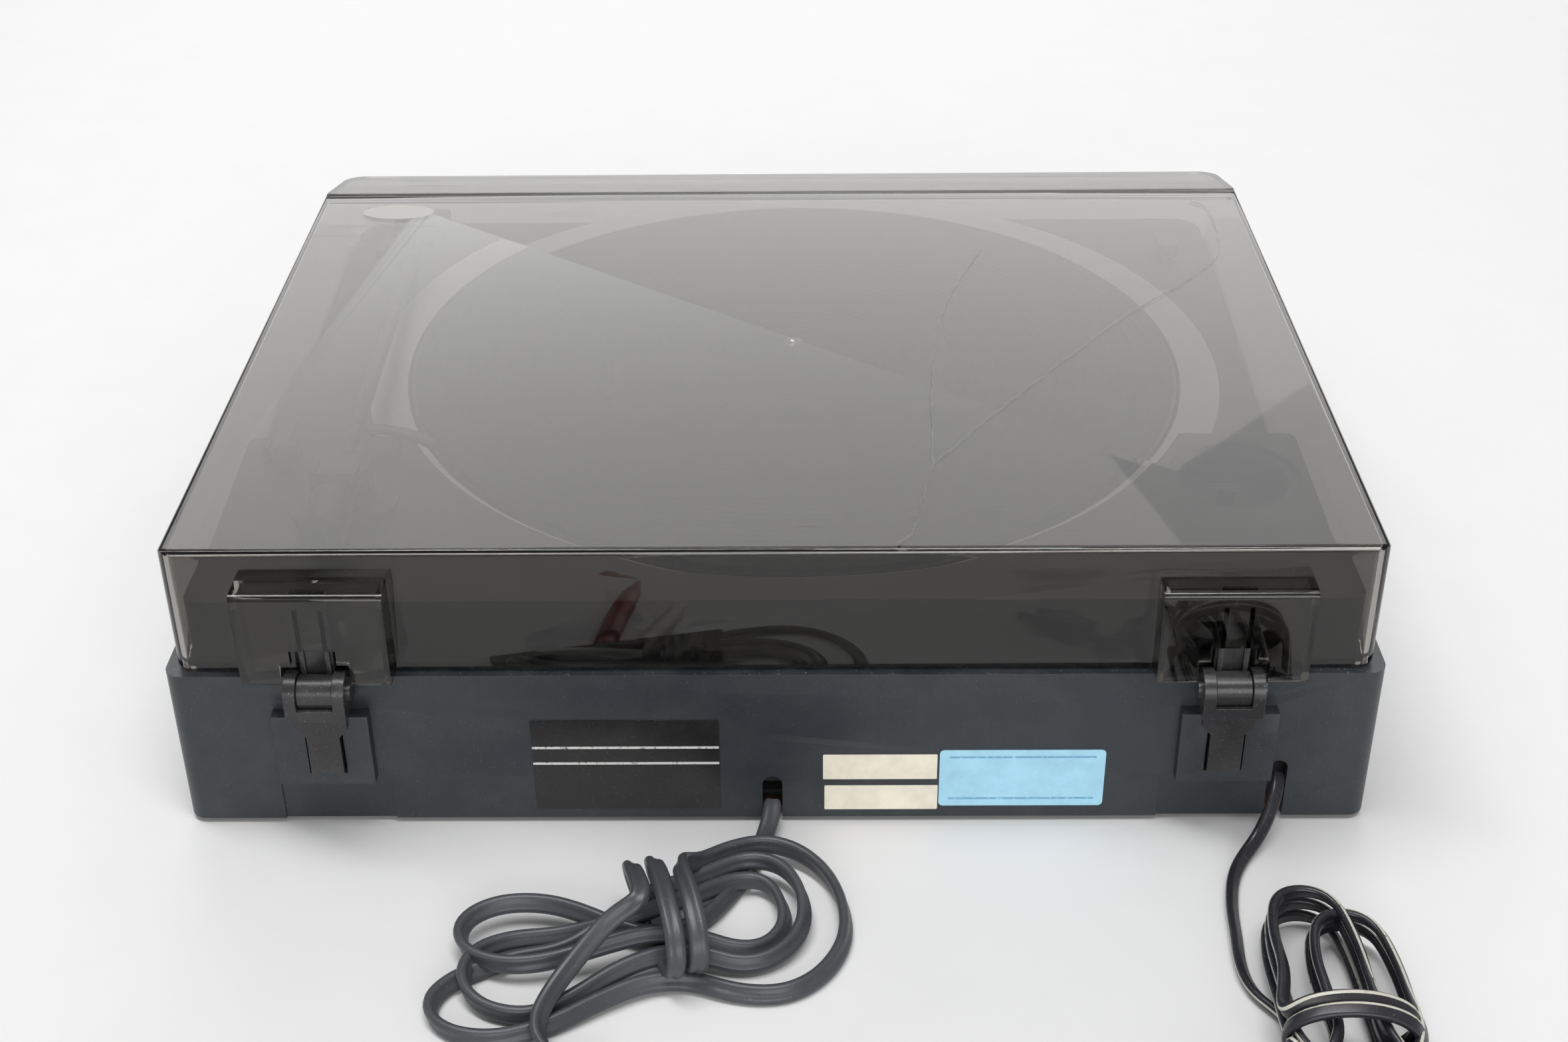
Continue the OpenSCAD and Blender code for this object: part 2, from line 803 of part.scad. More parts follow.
module platter_mat() {
    color([0.07, 0.07, 0.07])
    translate([platter_x, platter_y])
    difference() {
        post(platter_r - 1.5, platter_z, mat_z);
        post(spindle_r + 0.6, platter_z - 1, mat_z + 1);
    }
}

module spindle() {
    top = mat_z + spindle_rise;
    color("silver")
    translate([platter_x, platter_y]) {
        post(spindle_r, sleeve_z + 7, top - spindle_r);
        translate([0, 0, top - spindle_r])
            sphere(spindle_r);
        post(sleeve_r, hub_z - 2, hub_z);
    }
}

module bearing_sleeve() {
    color("goldenrod")
    translate([platter_x, platter_y])
    difference() {
        union() {
            post(sleeve_r, sleeve_z, deck_z);
            post(18, deck_z, deck_z + sleeve_flange_t - 0.2);
        }
        post(spindle_r + fit, sleeve_z + 3, deck_z + 5);
        for (a = [0:120:240])
            rotate(a)
                translate([bearing_screw_ring, 0])
                    post(1.3, deck_z - 1, deck_z + 5);
    }
}

module bearing_screws() {
    color("silver")
    translate([platter_x, platter_y])
        for (a = [0:120:240])
            rotate(a)
                translate([bearing_screw_ring, 0]) {
                    post(1.25, deck_z - 6, deck_z + sleeve_flange_t - 0.2);
                    post(2.3, deck_z + sleeve_flange_t - 0.2, deck_z + sleeve_flange_t + 1.2);
                }
}

module thrust_ball() {
    color("silver")
        translate([platter_x, platter_y, sleeve_z + 3 + ball_r])
            sphere(ball_r);
}

module motor_screw_ring() {
    for (a = [180, 300, 60])
        rotate(motor_angle + a)
            translate([grommet_ring, 0])
                children();
}

module motor() {
    color([0.6, 0.6, 0.6])
    translate([motor_x, motor_y])
    difference() {
        union() {
            post(24, plate_z - 30, plate_z);
            post(34, plate_z, plate_z + 1.5);
            post(6, plate_z + 1.5, plate_z + 4);
        }
        post(shaft_r + fit, plate_z - 6, plate_z + 5);
        motor_screw_ring()
            post(shaft_r + 0.1, plate_z - 1, plate_z + 3);
    }
}

module motor_grommets() {
    color([0.1, 0.1, 0.1])
    translate([motor_x, motor_y])
        motor_screw_ring()
            difference() {
                post(4.5, plate_z + 1.5, deck_z - wall);
                post(shaft_r + 0.1, plate_z, deck_z);
            }
}

module motor_screws() {
    color("silver")
    translate([motor_x, motor_y])
        motor_screw_ring() {
            post(3, plate_z - 1.6, plate_z);
            post(shaft_r, plate_z, deck_z - 0.8);
        }
}

module motor_pulley() {
    color("goldenrod")
    translate([motor_x, motor_y]) {
        post(shaft_r, plate_z - 5, belt_z);
        post(pulley_low_r, deck_z + 0.7, belt_z - 0.5);
        post(pulley_r, belt_z - 0.5, belt_z + belt_h + 0.7);
    }
}

module drive_belt() {
    c1 = [platter_x, platter_y];
    c2 = [motor_x, motor_y];
    color([0.05, 0.05, 0.05])
    translate([0, 0, belt_z])
        linear_extrude(belt_h)
            difference() {
                polygon(belt_outline(c1, rim_r + 0.35 + belt_t, c2, pulley_r + 0.35 + belt_t, 80));
                polygon(belt_outline(c1, rim_r + 0.35, c2, pulley_r + 0.35, 80));
            }
}

// cam gear of the automatic return, with a toothless stretch at the hub
module return_gear() {
    root = gear_r - 2;
    gap = atan2(platter_y - gear_y, platter_x - gear_x);
    color([0.85, 0.85, 0.8])
    translate([gear_x, gear_y, gear_z])
        difference() {
            linear_extrude(gear_t)
                union() {
                    circle(root);
                    for (i = [4:gear_teeth - 5])
                        rotate(gap + i * 360 / gear_teeth)
                            polygon([[root - 0.5, -1.4], [gear_r, -0.6], [gear_r, 0.6], [root - 0.5, 1.4]]);
                }
            translate([0, 0, -1])
                cylinder(r = gear_axle_r + fit, h = gear_t + 2);
            translate([0, 18, -1])
                cylinder(r = 7, h = gear_t + 2);
        }
}

module return_gear_axle() {
    color("silver")
    translate([gear_x, gear_y]) {
        post(gear_axle_r, deck_z - 2, gear_z + gear_t + 0.2);
        post(5, deck_z, gear_z - 0.2);
    }
}

// ---- parts on the base board ---------------------------------------------------

module capacitor() {
    color([0.75, 0.6, 0.2])
        translate([-62, rear_y - 52, board_z + board_t + 7])
            bar_x(7, 0, 28);
}

module terminal_strip() {
    color([0.8, 0.78, 0.7])
    translate([-118, rear_y - 42, 0])
    difference() {
        box([-16, -6, board_z + board_t], [16, 6, board_z + board_t + 9]);
        for (i = [-1:1])
            translate([i * 10, 0, 0])
                post(2, board_z + board_t + 3, board_z + board_t + 12);
    }
}

module power_switch() {
    color([0.15, 0.15, 0.2])
    translate([gear_x + 30, gear_y - 40, 0]) {
        box([-10, -5, deck_z - wall - 12], [10, 5, deck_z - wall]);
        box([-1.5, 5, deck_z - wall - 7], [1.5, 8, deck_z - wall - 4]);
    }
}

module cord_clamp(route, w, h, z0) {
    p = route[1];
    difference() {
        box([p[0] - w / 2 - 4, p[1] - 5, z0], [p[0] + w / 2 + 4, p[1] + 5, p[2] + h / 2 + 4]);
        box([p[0] - w / 2 - 0.1, p[1] - 6, p[2] - h / 2 - 0.1], [p[0] + w / 2 + 0.1, p[1] + 6, p[2] + h / 2 + 0.1]);
    }
}

module signal_cord_clamp() {
    color([0.1, 0.1, 0.1])
        cord_clamp(signal_route, signal_w * 1.1, signal_h * 1.1, board_z + board_t);
}

module mains_cord_clamp() {
    color([0.1, 0.1, 0.1])
        cord_clamp(mains_route, mains_w * 1.1, mains_h * 1.15, board_z + board_t);
}

// ---- tonearm -------------------------------------------------------------------

module tonearm_base() {
    color([0.08, 0.08, 0.08])
    translate([arm_x, arm_y])
    difference() {
        union() {
            post(20, block_z, block_z + base_plate_t);
            post(yoke_r + 4.9, block_z - 14, block_z);
        }
        post(yoke_r + fit, block_z - 20, block_z + 10);
    }
}

module arm_yoke() {
    z0 = block_z + base_plate_t + 0.3;
    color([0.12, 0.12, 0.12])
    translate([arm_x, arm_y]) {
        post(yoke_r, block_z - 12, z0);
        post(12, z0, z0 + 2);
        for (s = [-1, 1]) {
            translate([s * (arm_block_w / 2 + yoke_gap + 1.25), 0, 0])
                box([-1.25, -4, z0 + 1], [1.25, 4, arm_z + 4]);
            translate([0, 0, arm_z])
                bar_x(yoke_pin_r, min(s * 5, s * 8.2), max(s * 5, s * 8.2));
        }
    }
}

module arm_tube() {
    color([0.08, 0.08, 0.09])
    translate([arm_x, arm_y, arm_z])
    difference() {
        union() {
            bar_y(arm_r, shell_y - arm_y, 0);
            box([-arm_block_w / 2, -arm_block_l / 2, -3.6], [arm_block_w / 2, arm_block_l / 2, 4.4]);
            bar_y(stub_r, 0, 42);
        }
        bar_x(yoke_pin_r + fit, -20, 20);
    }
}

module counterweight() {
    color([0.3, 0.3, 0.31])
    translate([arm_x, arm_y, arm_z])
    difference() {
        union() {
            bar_y(counterweight_dia / 2, 20, 40);
            bar_y(counterweight_dia / 2 - 1, 17, 20);
        }
        bar_y(stub_r + fit, 0, 60);
    }
}

module headshell() {
    top = shell_top - arm_z;
    color([0.1, 0.1, 0.11])
    translate([arm_x, shell_y, arm_z]) {
        translate([0, -shell_l / 2, 0])
            slab(shell_w, shell_l, 2.5, top - 4, top);
        box([shell_w / 2 - 1, -shell_l + 8, top - 2], [shell_w / 2 + 8, -shell_l + 16, top - 0.8]);
    }
}

module cartridge() {
    color([0.15, 0.15, 0.16])
    translate([arm_x, stylus_y - 2, 0])
        box([-7, -11, mat_z + 3.8], [7, 13, shell_top - 4]);
}

module stylus() {
    color([0.75, 0.15, 0.1])
    translate([arm_x, stylus_y, 0]) {
        box([-4.5, -10, mat_z + 2.6], [4.5, 6, mat_z + 3.8]);
        translate([0, 0, mat_z + 1.6])
            cylinder(r1 = 0.3, r2 = 0.6, h = 1);
    }
}

module arm_rest() {
    color([0.09, 0.09, 0.09])
    translate([arm_x, arm_y - 175, 0]) {
        post(3.5, deck_z, arm_z - 4);
        box([-4, -4, arm_z - 4], [arm_r + 3.4, 4, arm_z - arm_r - 0.1]);
        box([arm_r + 0.6, -4, arm_z - 4], [arm_r + 3.4, 4, arm_z]);
    }
}

// pivot block of the cueing lever, beside the tonearm's base
module cue_base() {
    color([0.1, 0.1, 0.1])
    translate([arm_x + 27, arm_y - 28, block_z]) {
        box([-6, -7, 0], [6, 7, 2]);
        for (s = [-1, 1])
            box([s * 5 - 1, -4, 1], [s * 5 + 1, 4, 8]);
        translate([0, 0, 4.8])
            bar_x(1.5, -5.5, 5.5);
    }
}

module cue_lever() {
    color([0.2, 0.2, 0.2])
    translate([arm_x + 27, arm_y - 28, block_z + 4.8])
    difference() {
        union() {
            bar_x(2.7, -3.7, 3.7);
            box([-2.5, -18, 0.4], [2.5, 0, 2.6]);
        }
        bar_x(1.5 + fit, -5, 5);
    }
}

// curved bar under the arm tube, raised by the cueing lever
module cue_lifter() {
    bar_top = arm_z - arm_r - 0.3;
    color([0.3, 0.3, 0.3])
    translate([arm_x, arm_y]) {
        translate([0, 0, bar_top - 2])
            linear_extrude(2)
                polygon(concat(arc(0, 0, lifter_r + 2, 266, 224, 14), arc(0, 0, lifter_r - 2, 224, 266, 14)));
        rotate(-90 - lifter_stem_angle)
            translate([lifter_r, 0])
                post(2, block_z - 12, bar_top - 1);
    }
}

// ---- levers on the front deck --------------------------------------------------

module deck_lever(x, y, link) {
    translate([x, y]) {
        box([-slot_w / 2 + touch, -3.5, deck_z - wall - 2], [slot_w / 2 - touch, 3.5, deck_z + 1]);
        slab(9, 14, 2, deck_z + 0.3, deck_z + 6);
        box([-4.5, -8, deck_z - wall - 3.4], [4.5, link, deck_z - wall - 1.4]);
    }
}

module start_lever() {
    color([0.35, 0.35, 0.36])
        deck_lever(start_x, start_y, 60);
}

module speed_lever() {
    color([0.35, 0.35, 0.36])
        deck_lever(speed_x, speed_y, 60);
}

// ---- cords ---------------------------------------------------------------------

module signal_cord_run() {
    color([0.2, 0.21, 0.23])
        swept_cord(signal_route, signal_w * 0.92, signal_h * 0.92, 2);
}

module signal_cord_hank() {
    color([0.2, 0.21, 0.23])
        hank_solid(signal_hank, signal_hank_h);
}

// signal plug: boot, grip, shell and centre pin, lying on the table
module signal_plug(x, y, turn) {
    r = 4.6;
    translate([x, y, r])
        rotate(turn) {
            bar_y(2.2, -14, -6);
            bar_y(3.4, -6, 0);
            bar_y(r, 0, 22);
            bar_y(4.1, 22, 29);
            bar_y(1.6, 29, 37);
        }
}

module signal_plug_left() {
    color([0.85, 0.85, 0.85])
        signal_plug(52, 297, 6);
}

module signal_plug_right() {
    color([0.7, 0.12, 0.1])
        signal_plug(66, 303, -8);
}

module mains_cord_run() {
    color([0.06, 0.06, 0.08])
        swept_cord(mains_route, mains_w * 0.92, mains_h * 0.92, 1);
}

module mains_cord_hank() {
    color([0.06, 0.06, 0.08])
        hank_solid(mains_hank, mains_hank_h);
}

// two-blade mains plug lying on its side
module mains_plug() {
    color([0.05, 0.05, 0.06])
    translate([-148, 312, 0])
    rotate(-40) {
        translate([0, 0, 6.5])
            bar_y(2.6, -16, 2);
        translate([0, 10, 0])
            slab(13, 20, 3, 0.3, 12.7);
        translate([0, 24.5, 0])
            slab(20, 9, 2, 0.3, 12.7);
        for (s = [-1, 1])
            box([s * 6.35 - 0.75, 29, 3.3], [s * 6.35 + 0.75, 46, 9.6]);
    }
}

// ---- one line per piece ----------------------------------------------------------

plinth();
deck();
base_board();
base_screws();
feet();
platter_trim_ring();
lid_bumpers();
rating_plate();
date_labels();
approval_label();
hinge_body(-1);  // hinge_body_left
hinge_body(1);  // hinge_body_right
hinge_pin(-1);  // hinge_pin_left
hinge_pin(1);  // hinge_pin_right
hinge_washers();
hinge_leaf(-1);  // hinge_leaf_left
hinge_leaf(1);  // hinge_leaf_right
lid();
lid_badge();
platter();
platter_skirt();
platter_belt_rim();
platter_hub();
platter_mat();
spindle();
bearing_sleeve();
bearing_screws();
thrust_ball();
motor();
motor_grommets();
motor_screws();
motor_pulley();
drive_belt();
return_gear();
return_gear_axle();
capacitor();
terminal_strip();
power_switch();
tonearm_base();
arm_yoke();
arm_tube();
counterweight();
headshell();
cartridge();
stylus();
arm_rest();
cue_base();
cue_lever();
cue_lifter();
start_lever();
speed_lever();
signal_cord_clamp();
mains_cord_clamp();
signal_cord_run();
signal_cord_hank();
signal_plug_left();
signal_plug_right();
mains_cord_run();
mains_cord_hank();
mains_plug();
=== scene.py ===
import math
import random

import bmesh
import bpy
from bpy.props import FloatProperty, FloatVectorProperty, PointerProperty
from mathutils import Matrix, Vector


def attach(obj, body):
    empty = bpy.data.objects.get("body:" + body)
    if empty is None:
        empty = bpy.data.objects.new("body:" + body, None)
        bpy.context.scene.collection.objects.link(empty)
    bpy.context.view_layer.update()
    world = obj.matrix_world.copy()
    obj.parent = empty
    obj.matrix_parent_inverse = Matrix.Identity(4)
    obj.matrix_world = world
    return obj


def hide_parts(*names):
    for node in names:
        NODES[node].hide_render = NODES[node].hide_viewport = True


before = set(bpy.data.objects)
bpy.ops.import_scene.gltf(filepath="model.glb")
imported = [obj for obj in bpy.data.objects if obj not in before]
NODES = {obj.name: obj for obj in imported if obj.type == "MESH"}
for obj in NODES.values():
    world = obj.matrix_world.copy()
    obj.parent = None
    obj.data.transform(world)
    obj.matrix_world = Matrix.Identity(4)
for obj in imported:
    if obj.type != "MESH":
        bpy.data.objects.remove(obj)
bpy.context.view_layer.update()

bl_info = {
    "name": "Record player",
    "version": (1, 0, 0),
    "blender": (4, 5, 0),
    "location": "View3D > Sidebar > Record player",
    "description": "Builds the visual model of a belt-driven record player on its CAD frame",
    "category": "Object",
}

MM = 0.001
TABLE_GAP = 0.0001

# the platter's centre and the spacing of the mat's grooves, in metres
PLATTER_CENTRE = (-0.009, -0.004)
MAT_GROOVE_PITCH = 0.0034

# ---- the camera, in the player's own frame ---------------------------------
CAMERA_PLACE = (-0.01062, 0.74398, 0.47735)
CAMERA_RIGHT = (-0.9999, -0.0061, -0.0089)
CAMERA_UP = (-0.0043, -0.5267, 0.8501)
CAMERA_AHEAD = (0.0099, -0.8500, -0.5266)
CAMERA_LENS = 48.73


# ---- settings that a user would change -------------------------------------
class HousingSettings(bpy.types.PropertyGroup):
    colour: FloatVectorProperty(
        name="Housing colour", description="Colour of the moulded plinth",
        subtype="COLOR", default=(0.022, 0.028, 0.034), min=0, max=1)
    edge: FloatProperty(
        name="Housing edge", description="Radius of the plinth's softened edges",
        default=0.0015, min=0.0002, max=0.002, unit="LENGTH")
    board_colour: FloatVectorProperty(
        name="Board colour", description="Colour of the hardboard under the plinth",
        subtype="COLOR", default=(0.13, 0.055, 0.026), min=0, max=1)


class CoverSettings(bpy.types.PropertyGroup):
    tint: FloatVectorProperty(
        name="Cover tint", description="Colour that one face of the smoked cover lets through",
        subtype="COLOR", default=(0.36, 0.345, 0.325), min=0, max=1)
    gloss: FloatProperty(
        name="Cover roughness", description="Roughness of the polished cover",
        default=0.008, min=0, max=1)
    edge: FloatProperty(
        name="Cover edge", description="Radius of the cover's softened rims",
        default=0.0007, min=0.0002, max=0.001, unit="LENGTH")


class CordSettings(bpy.types.PropertyGroup):
    signal_colour: FloatVectorProperty(
        name="Signal cord colour", description="Colour of the twin signal cord",
        subtype="COLOR", default=(0.052, 0.056, 0.063), min=0, max=1)
    mains_colour: FloatVectorProperty(
        name="Mains cord colour", description="Colour of the flat mains cord",
        subtype="COLOR", default=(0.016, 0.016, 0.021), min=0, max=1)
    stripe_colour: FloatVectorProperty(
        name="Stripe colour", description="Colour of the stripe on the mains cord",
        subtype="COLOR", default=(0.55, 0.54, 0.46), min=0, max=1)
    signal_width: FloatProperty(
        name="Signal cord width", description="Width over both lobes of the signal cord",
        default=0.0064, min=0.005, max=0.007, unit="LENGTH")
    mains_width: FloatProperty(
        name="Mains cord width", description="Width of the flat mains cord",
        default=0.005, min=0.004, max=0.006, unit="LENGTH")


class StageSettings(bpy.types.PropertyGroup):
    floor_colour: FloatVectorProperty(
        name="Floor colour", description="Colour of the plain floor",
        subtype="COLOR", default=(0.76, 0.76, 0.76), min=0, max=1)
    world_light: FloatProperty(
        name="Room light", description="Strength of the even light all round",
        default=0.32, min=0, max=5)
    far_light: FloatProperty(
        name="Far panel", description="Power of the wide panel beyond the front of the player",
        default=25.5, min=0, max=500, unit="POWER")
    top_light: FloatProperty(
        name="Overhead panel", description="Power of the soft panel overhead",
        default=3.0, min=0, max=500, unit="POWER")
    strip_light: FloatProperty(
        name="Overhead lamp", description="Power of the narrow lamp overhead",
        default=30.0, min=0, max=500, unit="POWER")
    near_light: FloatProperty(
        name="Near panel", description="Power of the soft panel behind the camera",
        default=30.0, min=0, max=500, unit="POWER")


GROUPS = (
    ("rp_housing", HousingSettings),
    ("rp_cover", CoverSettings),
    ("rp_cord", CordSettings),
    ("rp_stage", StageSettings),
)


# ---- values shared by the finishes -------------------------------------------
# how far roughness varies over a finish, and how much dust adds to it
ROUGH_SPREAD = 0.08
DUST_ROUGH = 0.35
# depth of the moulded grain, in metres
GRAIN_DEPTH = 0.0002
# light that the smoked cover scatters where dust lies on it, and its haze
COVER_DUST_COLOUR = (0.3, 0.29, 0.27)
COVER_HAZE = 0.02
COVER_WAVE = 0.0006
SCRATCH_ROUGH = 0.16
COVER_DUST_ROUGH = 0.5


# ---- node groups shared by the materials -----------------------------------
def new_group(name, inputs, outputs):
    tree = bpy.data.node_groups.new(name, "ShaderNodeTree")
    for label, kind, value in inputs:
        socket = tree.interface.new_socket(name=label, in_out="INPUT", socket_type=kind)
        socket.default_value = value
    for label, kind in outputs:
        tree.interface.new_socket(name=label, in_out="OUTPUT", socket_type=kind)
    return tree, tree.nodes.new("NodeGroupInput"), tree.nodes.new("NodeGroupOutput")


def math_node(tree, operation, a, b=0.0, clamp=False):
    node = tree.nodes.new("ShaderNodeMath")
    node.operation = operation
    node.use_clamp = clamp
    for socket, value in ((node.inputs[0], a), (node.inputs[1], b)):
        if isinstance(value, (int, float)):
            socket.default_value = value
        else:
            tree.links.new(value, socket)
    return node.outputs[0]


def noise_node(tree, scale, detail=3.0, rough=0.5, vector=None, stretch=None):
    coord = tree.nodes.new("ShaderNodeTexCoord").outputs["Object"] if vector is None else vector
    if stretch:
        mapping = tree.nodes.new("ShaderNodeMapping")
        mapping.inputs["Scale"].default_value = stretch
        tree.links.new(coord, mapping.inputs["Vector"])
        coord = mapping.outputs[0]
    node = tree.nodes.new("ShaderNodeTexNoise")
    node.inputs["Detail"].default_value = detail
    node.inputs["Roughness"].default_value = rough
    tree.links.new(coord, node.inputs["Vector"])
    if isinstance(scale, (int, float)):
        node.inputs["Scale"].default_value = scale
    else:
        tree.links.new(scale, node.inputs["Scale"])
    return node.outputs["Fac"]


def ramp(tree, value, low, high):
    node = tree.nodes.new("ShaderNodeMapRange")
    node.clamp = True
    node.inputs["From Min"].default_value = low
    node.inputs["From Max"].default_value = high
    tree.links.new(value, node.inputs["Value"])
    return node.outputs[0]


def make_grain_group():
    """Fine moulded grain: a height for bump and a soft patch mask."""
    tree, gin, gout = new_group(
        "Moulded grain",
        [("Scale", "NodeSocketFloat", 2500.0)],
        [("Height", "NodeSocketFloat"), ("Patches", "NodeSocketFloat")])
    tree.links.new(noise_node(tree, gin.outputs["Scale"], 2.0), gout.inputs["Height"])
    tree.links.new(ramp(tree, noise_node(tree, 28.0, 5.0, 0.6), 0.3, 0.7), gout.inputs["Patches"])
    return tree


def make_dust_group():
    """Dust specks and lint, thicker on faces that look up."""
    tree, gin, gout = new_group(
        "Dust",
        [("Amount", "NodeSocketFloat", 0.3)],
        [("Mask", "NodeSocketFloat")])
    speck = ramp(tree, noise_node(tree, 1400.0, 1.0, 0.4), 0.70, 0.76)
    film = ramp(tree, noise_node(tree, 60.0, 6.0, 0.7), 0.42, 0.8)
    geo = tree.nodes.new("ShaderNodeNewGeometry")
    sep = tree.nodes.new("ShaderNodeSeparateXYZ")
    tree.links.new(geo.outputs["Normal"], sep.inputs[0])
    up = ramp(tree, sep.outputs["Z"], -0.2, 1.0)
    specks = math_node(tree, "MULTIPLY", speck, 0.9)
    both = math_node(tree, "ADD", specks, math_node(tree, "MULTIPLY", film, 0.22))
    lit = math_node(tree, "MULTIPLY", both, math_node(tree, "ADD", math_node(tree, "MULTIPLY", up, 0.8), 0.2))
    tree.links.new(math_node(tree, "MULTIPLY", lit, gin.outputs["Amount"], clamp=True), gout.inputs["Mask"])
    return tree


def make_scratch_group():
    """Thin wandering scratches in two directions."""
    tree, gin, gout = new_group(
        "Scratches",
        [("Scale", "NodeSocketFloat", 14.0)],
        [("Mask", "NodeSocketFloat")])
    coord = tree.nodes.new("ShaderNodeTexCoord").outputs["Object"]
    found = None
    for turn, stretch in ((0.5, (1.0, 26.0, 1.0)), (2.2, (1.0, 34.0, 1.0))):
        mapping = tree.nodes.new("ShaderNodeMapping")
        mapping.inputs["Rotation"].default_value = (0.0, 0.0, turn)
        mapping.inputs["Scale"].default_value = stretch
        tree.links.new(coord, mapping.inputs["Vector"])
        fac = noise_node(tree, gin.outputs["Scale"], 2.0, 0.5, vector=mapping.outputs[0])
        line = ramp(tree, fac, 0.715, 0.74)
        found = line if found is None else math_node(tree, "MAXIMUM", found, line)
    patch = ramp(tree, noise_node(tree, 9.0, 2.0), 0.45, 0.6)
    tree.links.new(math_node(tree, "MULTIPLY", found, patch, clamp=True), gout.inputs["Mask"])
    return tree


def group_node(tree, group, **values):
    node = tree.nodes.new("ShaderNodeGroup")
    node.node_tree = group
    for name, value in values.items():
        node.inputs[name.replace("_", " ")].default_value = value
    return node


def mix_colour(tree, fac, a, b):
    node = tree.nodes.new("ShaderNodeMix")
    node.data_type = "RGBA"
    if isinstance(fac, (int, float)):
        node.inputs[0].default_value = fac
    else:
        tree.links.new(fac, node.inputs[0])
    for socket, value in ((node.inputs[6], a), (node.inputs[7], b)):
        if hasattr(value, "links"):
            tree.links.new(value, socket)
        else:
            socket.default_value = (*value[:3], 1.0)
    return node.outputs[2]


def shade(colour, k):
    return tuple(min(1.0, c * k) for c in colour)


def new_material(name):
    """A new material with its tree and its Principled shader."""
    mat = bpy.data.materials.new(name)
    mat.use_nodes = True
    return mat, mat.node_tree, mat.node_tree.nodes["Principled BSDF"]


def bump_normal(tree, shader, height, strength, distance):
    """Feeds a height to the shader's normal through a bump node."""
    node = tree.nodes.new("ShaderNodeBump")
    node.inputs["Strength"].default_value = strength
    node.inputs["Distance"].default_value = distance
    tree.links.new(height, node.inputs["Height"])
    tree.links.new(node.outputs[0], shader.inputs["Normal"])


def multiply_add(tree, value, factor, offset):
    node = math_node(tree, "MULTIPLY_ADD", value, factor)
    node.node.inputs[2].default_value = offset
    return node


def surface(name, colour, rough=0.5, metal=0.0, grain=2500.0, bump=0.15, dust=0.3,
            coat=0.0, dust_colour=(0.42, 0.40, 0.37), spread=0.35, specular=0.5):
    """A moulded, painted or metal finish with grain, colour patches and dust."""
    mat, tree, shader = new_material(name)
    grains = group_node(tree, SHARED["grain"], Scale=grain)
    dusts = group_node(tree, SHARED["dust"], Amount=dust)
    base = mix_colour(tree, grains.outputs["Patches"],
                      shade(colour, 1 - spread / 2), shade(colour, 1 + spread / 2))
    dusty = mix_colour(tree, dusts.outputs["Mask"], base, dust_colour)
    tree.links.new(dusty, shader.inputs["Base Color"])
    varied = multiply_add(tree, grains.outputs["Patches"], ROUGH_SPREAD, rough - ROUGH_SPREAD / 2)
    dull = math_node(tree, "MULTIPLY", dusts.outputs["Mask"], DUST_ROUGH)
    tree.links.new(math_node(tree, "ADD", varied, dull, clamp=True), shader.inputs["Roughness"])
    shader.inputs["Metallic"].default_value = metal
    shader.inputs["Specular IOR Level"].default_value = specular
    shader.inputs["Coat Weight"].default_value = coat
    if bump:
        bump_normal(tree, shader, grains.outputs["Height"], bump, GRAIN_DEPTH)
    return mat


def radial_wave(tree, centre, scale):
    """Rings about a vertical axis, as a height from 0 to 1."""
    coord = tree.nodes.new("ShaderNodeTexCoord").outputs["Object"]
    mapping = tree.nodes.new("ShaderNodeMapping")
    mapping.inputs["Location"].default_value = (-centre[0], -centre[1], 0.0)
    mapping.inputs["Scale"].default_value = (1.0, 1.0, 0.0)
    tree.links.new(coord, mapping.inputs["Vector"])
    node = tree.nodes.new("ShaderNodeVectorMath")
    node.operation = "LENGTH"
    tree.links.new(mapping.outputs[0], node.inputs[0])
    wave = math_node(tree, "SINE", math_node(tree, "MULTIPLY", node.outputs["Value"], scale))
    return multiply_add(tree, wave, 0.5, 0.5)


SHARED = {}
MATS = {}


def make_shared():
    SHARED["grain"] = make_grain_group()
    SHARED["dust"] = make_dust_group()
    SHARED["scratch"] = make_scratch_group()


def smoked_acrylic(cover):
    """Polished smoked plastic, scratched and lightly dusty."""
    mat, tree, shader = new_material("smoked_acrylic")
    shader.inputs["Transmission Weight"].default_value = 1.0
    shader.inputs["IOR"].default_value = 1.49
    scratches = group_node(tree, SHARED["scratch"], Scale=16.0)
    dusts = group_node(tree, SHARED["dust"], Amount=0.22)
    dusty = math_node(tree, "MULTIPLY", dusts.outputs["Mask"], 0.35)
    tinted = mix_colour(tree, dusty, tuple(cover.tint), COVER_DUST_COLOUR)
    tree.links.new(tinted, shader.inputs["Base Color"])
    haze = ramp(tree, noise_node(tree, 22.0, 4.0, 0.6), 0.35, 0.75)
    rough = multiply_add(tree, haze, COVER_HAZE, cover.gloss)
    scratched = math_node(tree, "MULTIPLY", scratches.outputs["Mask"], SCRATCH_ROUGH)
    rougher = math_node(tree, "ADD", rough, scratched)
    dull = math_node(tree, "MULTIPLY", dusts.outputs["Mask"], COVER_DUST_ROUGH)
    tree.links.new(math_node(tree, "ADD", rougher, dull, clamp=True), shader.inputs["Roughness"])
    wavy = noise_node(tree, 16.0, 2.0, 0.5)
    height = math_node(tree, "SUBTRACT", wavy, math_node(tree, "MULTIPLY", scratches.outputs["Mask"], 0.2))
    bump_normal(tree, shader, height, 0.1, COVER_WAVE)
    return mat


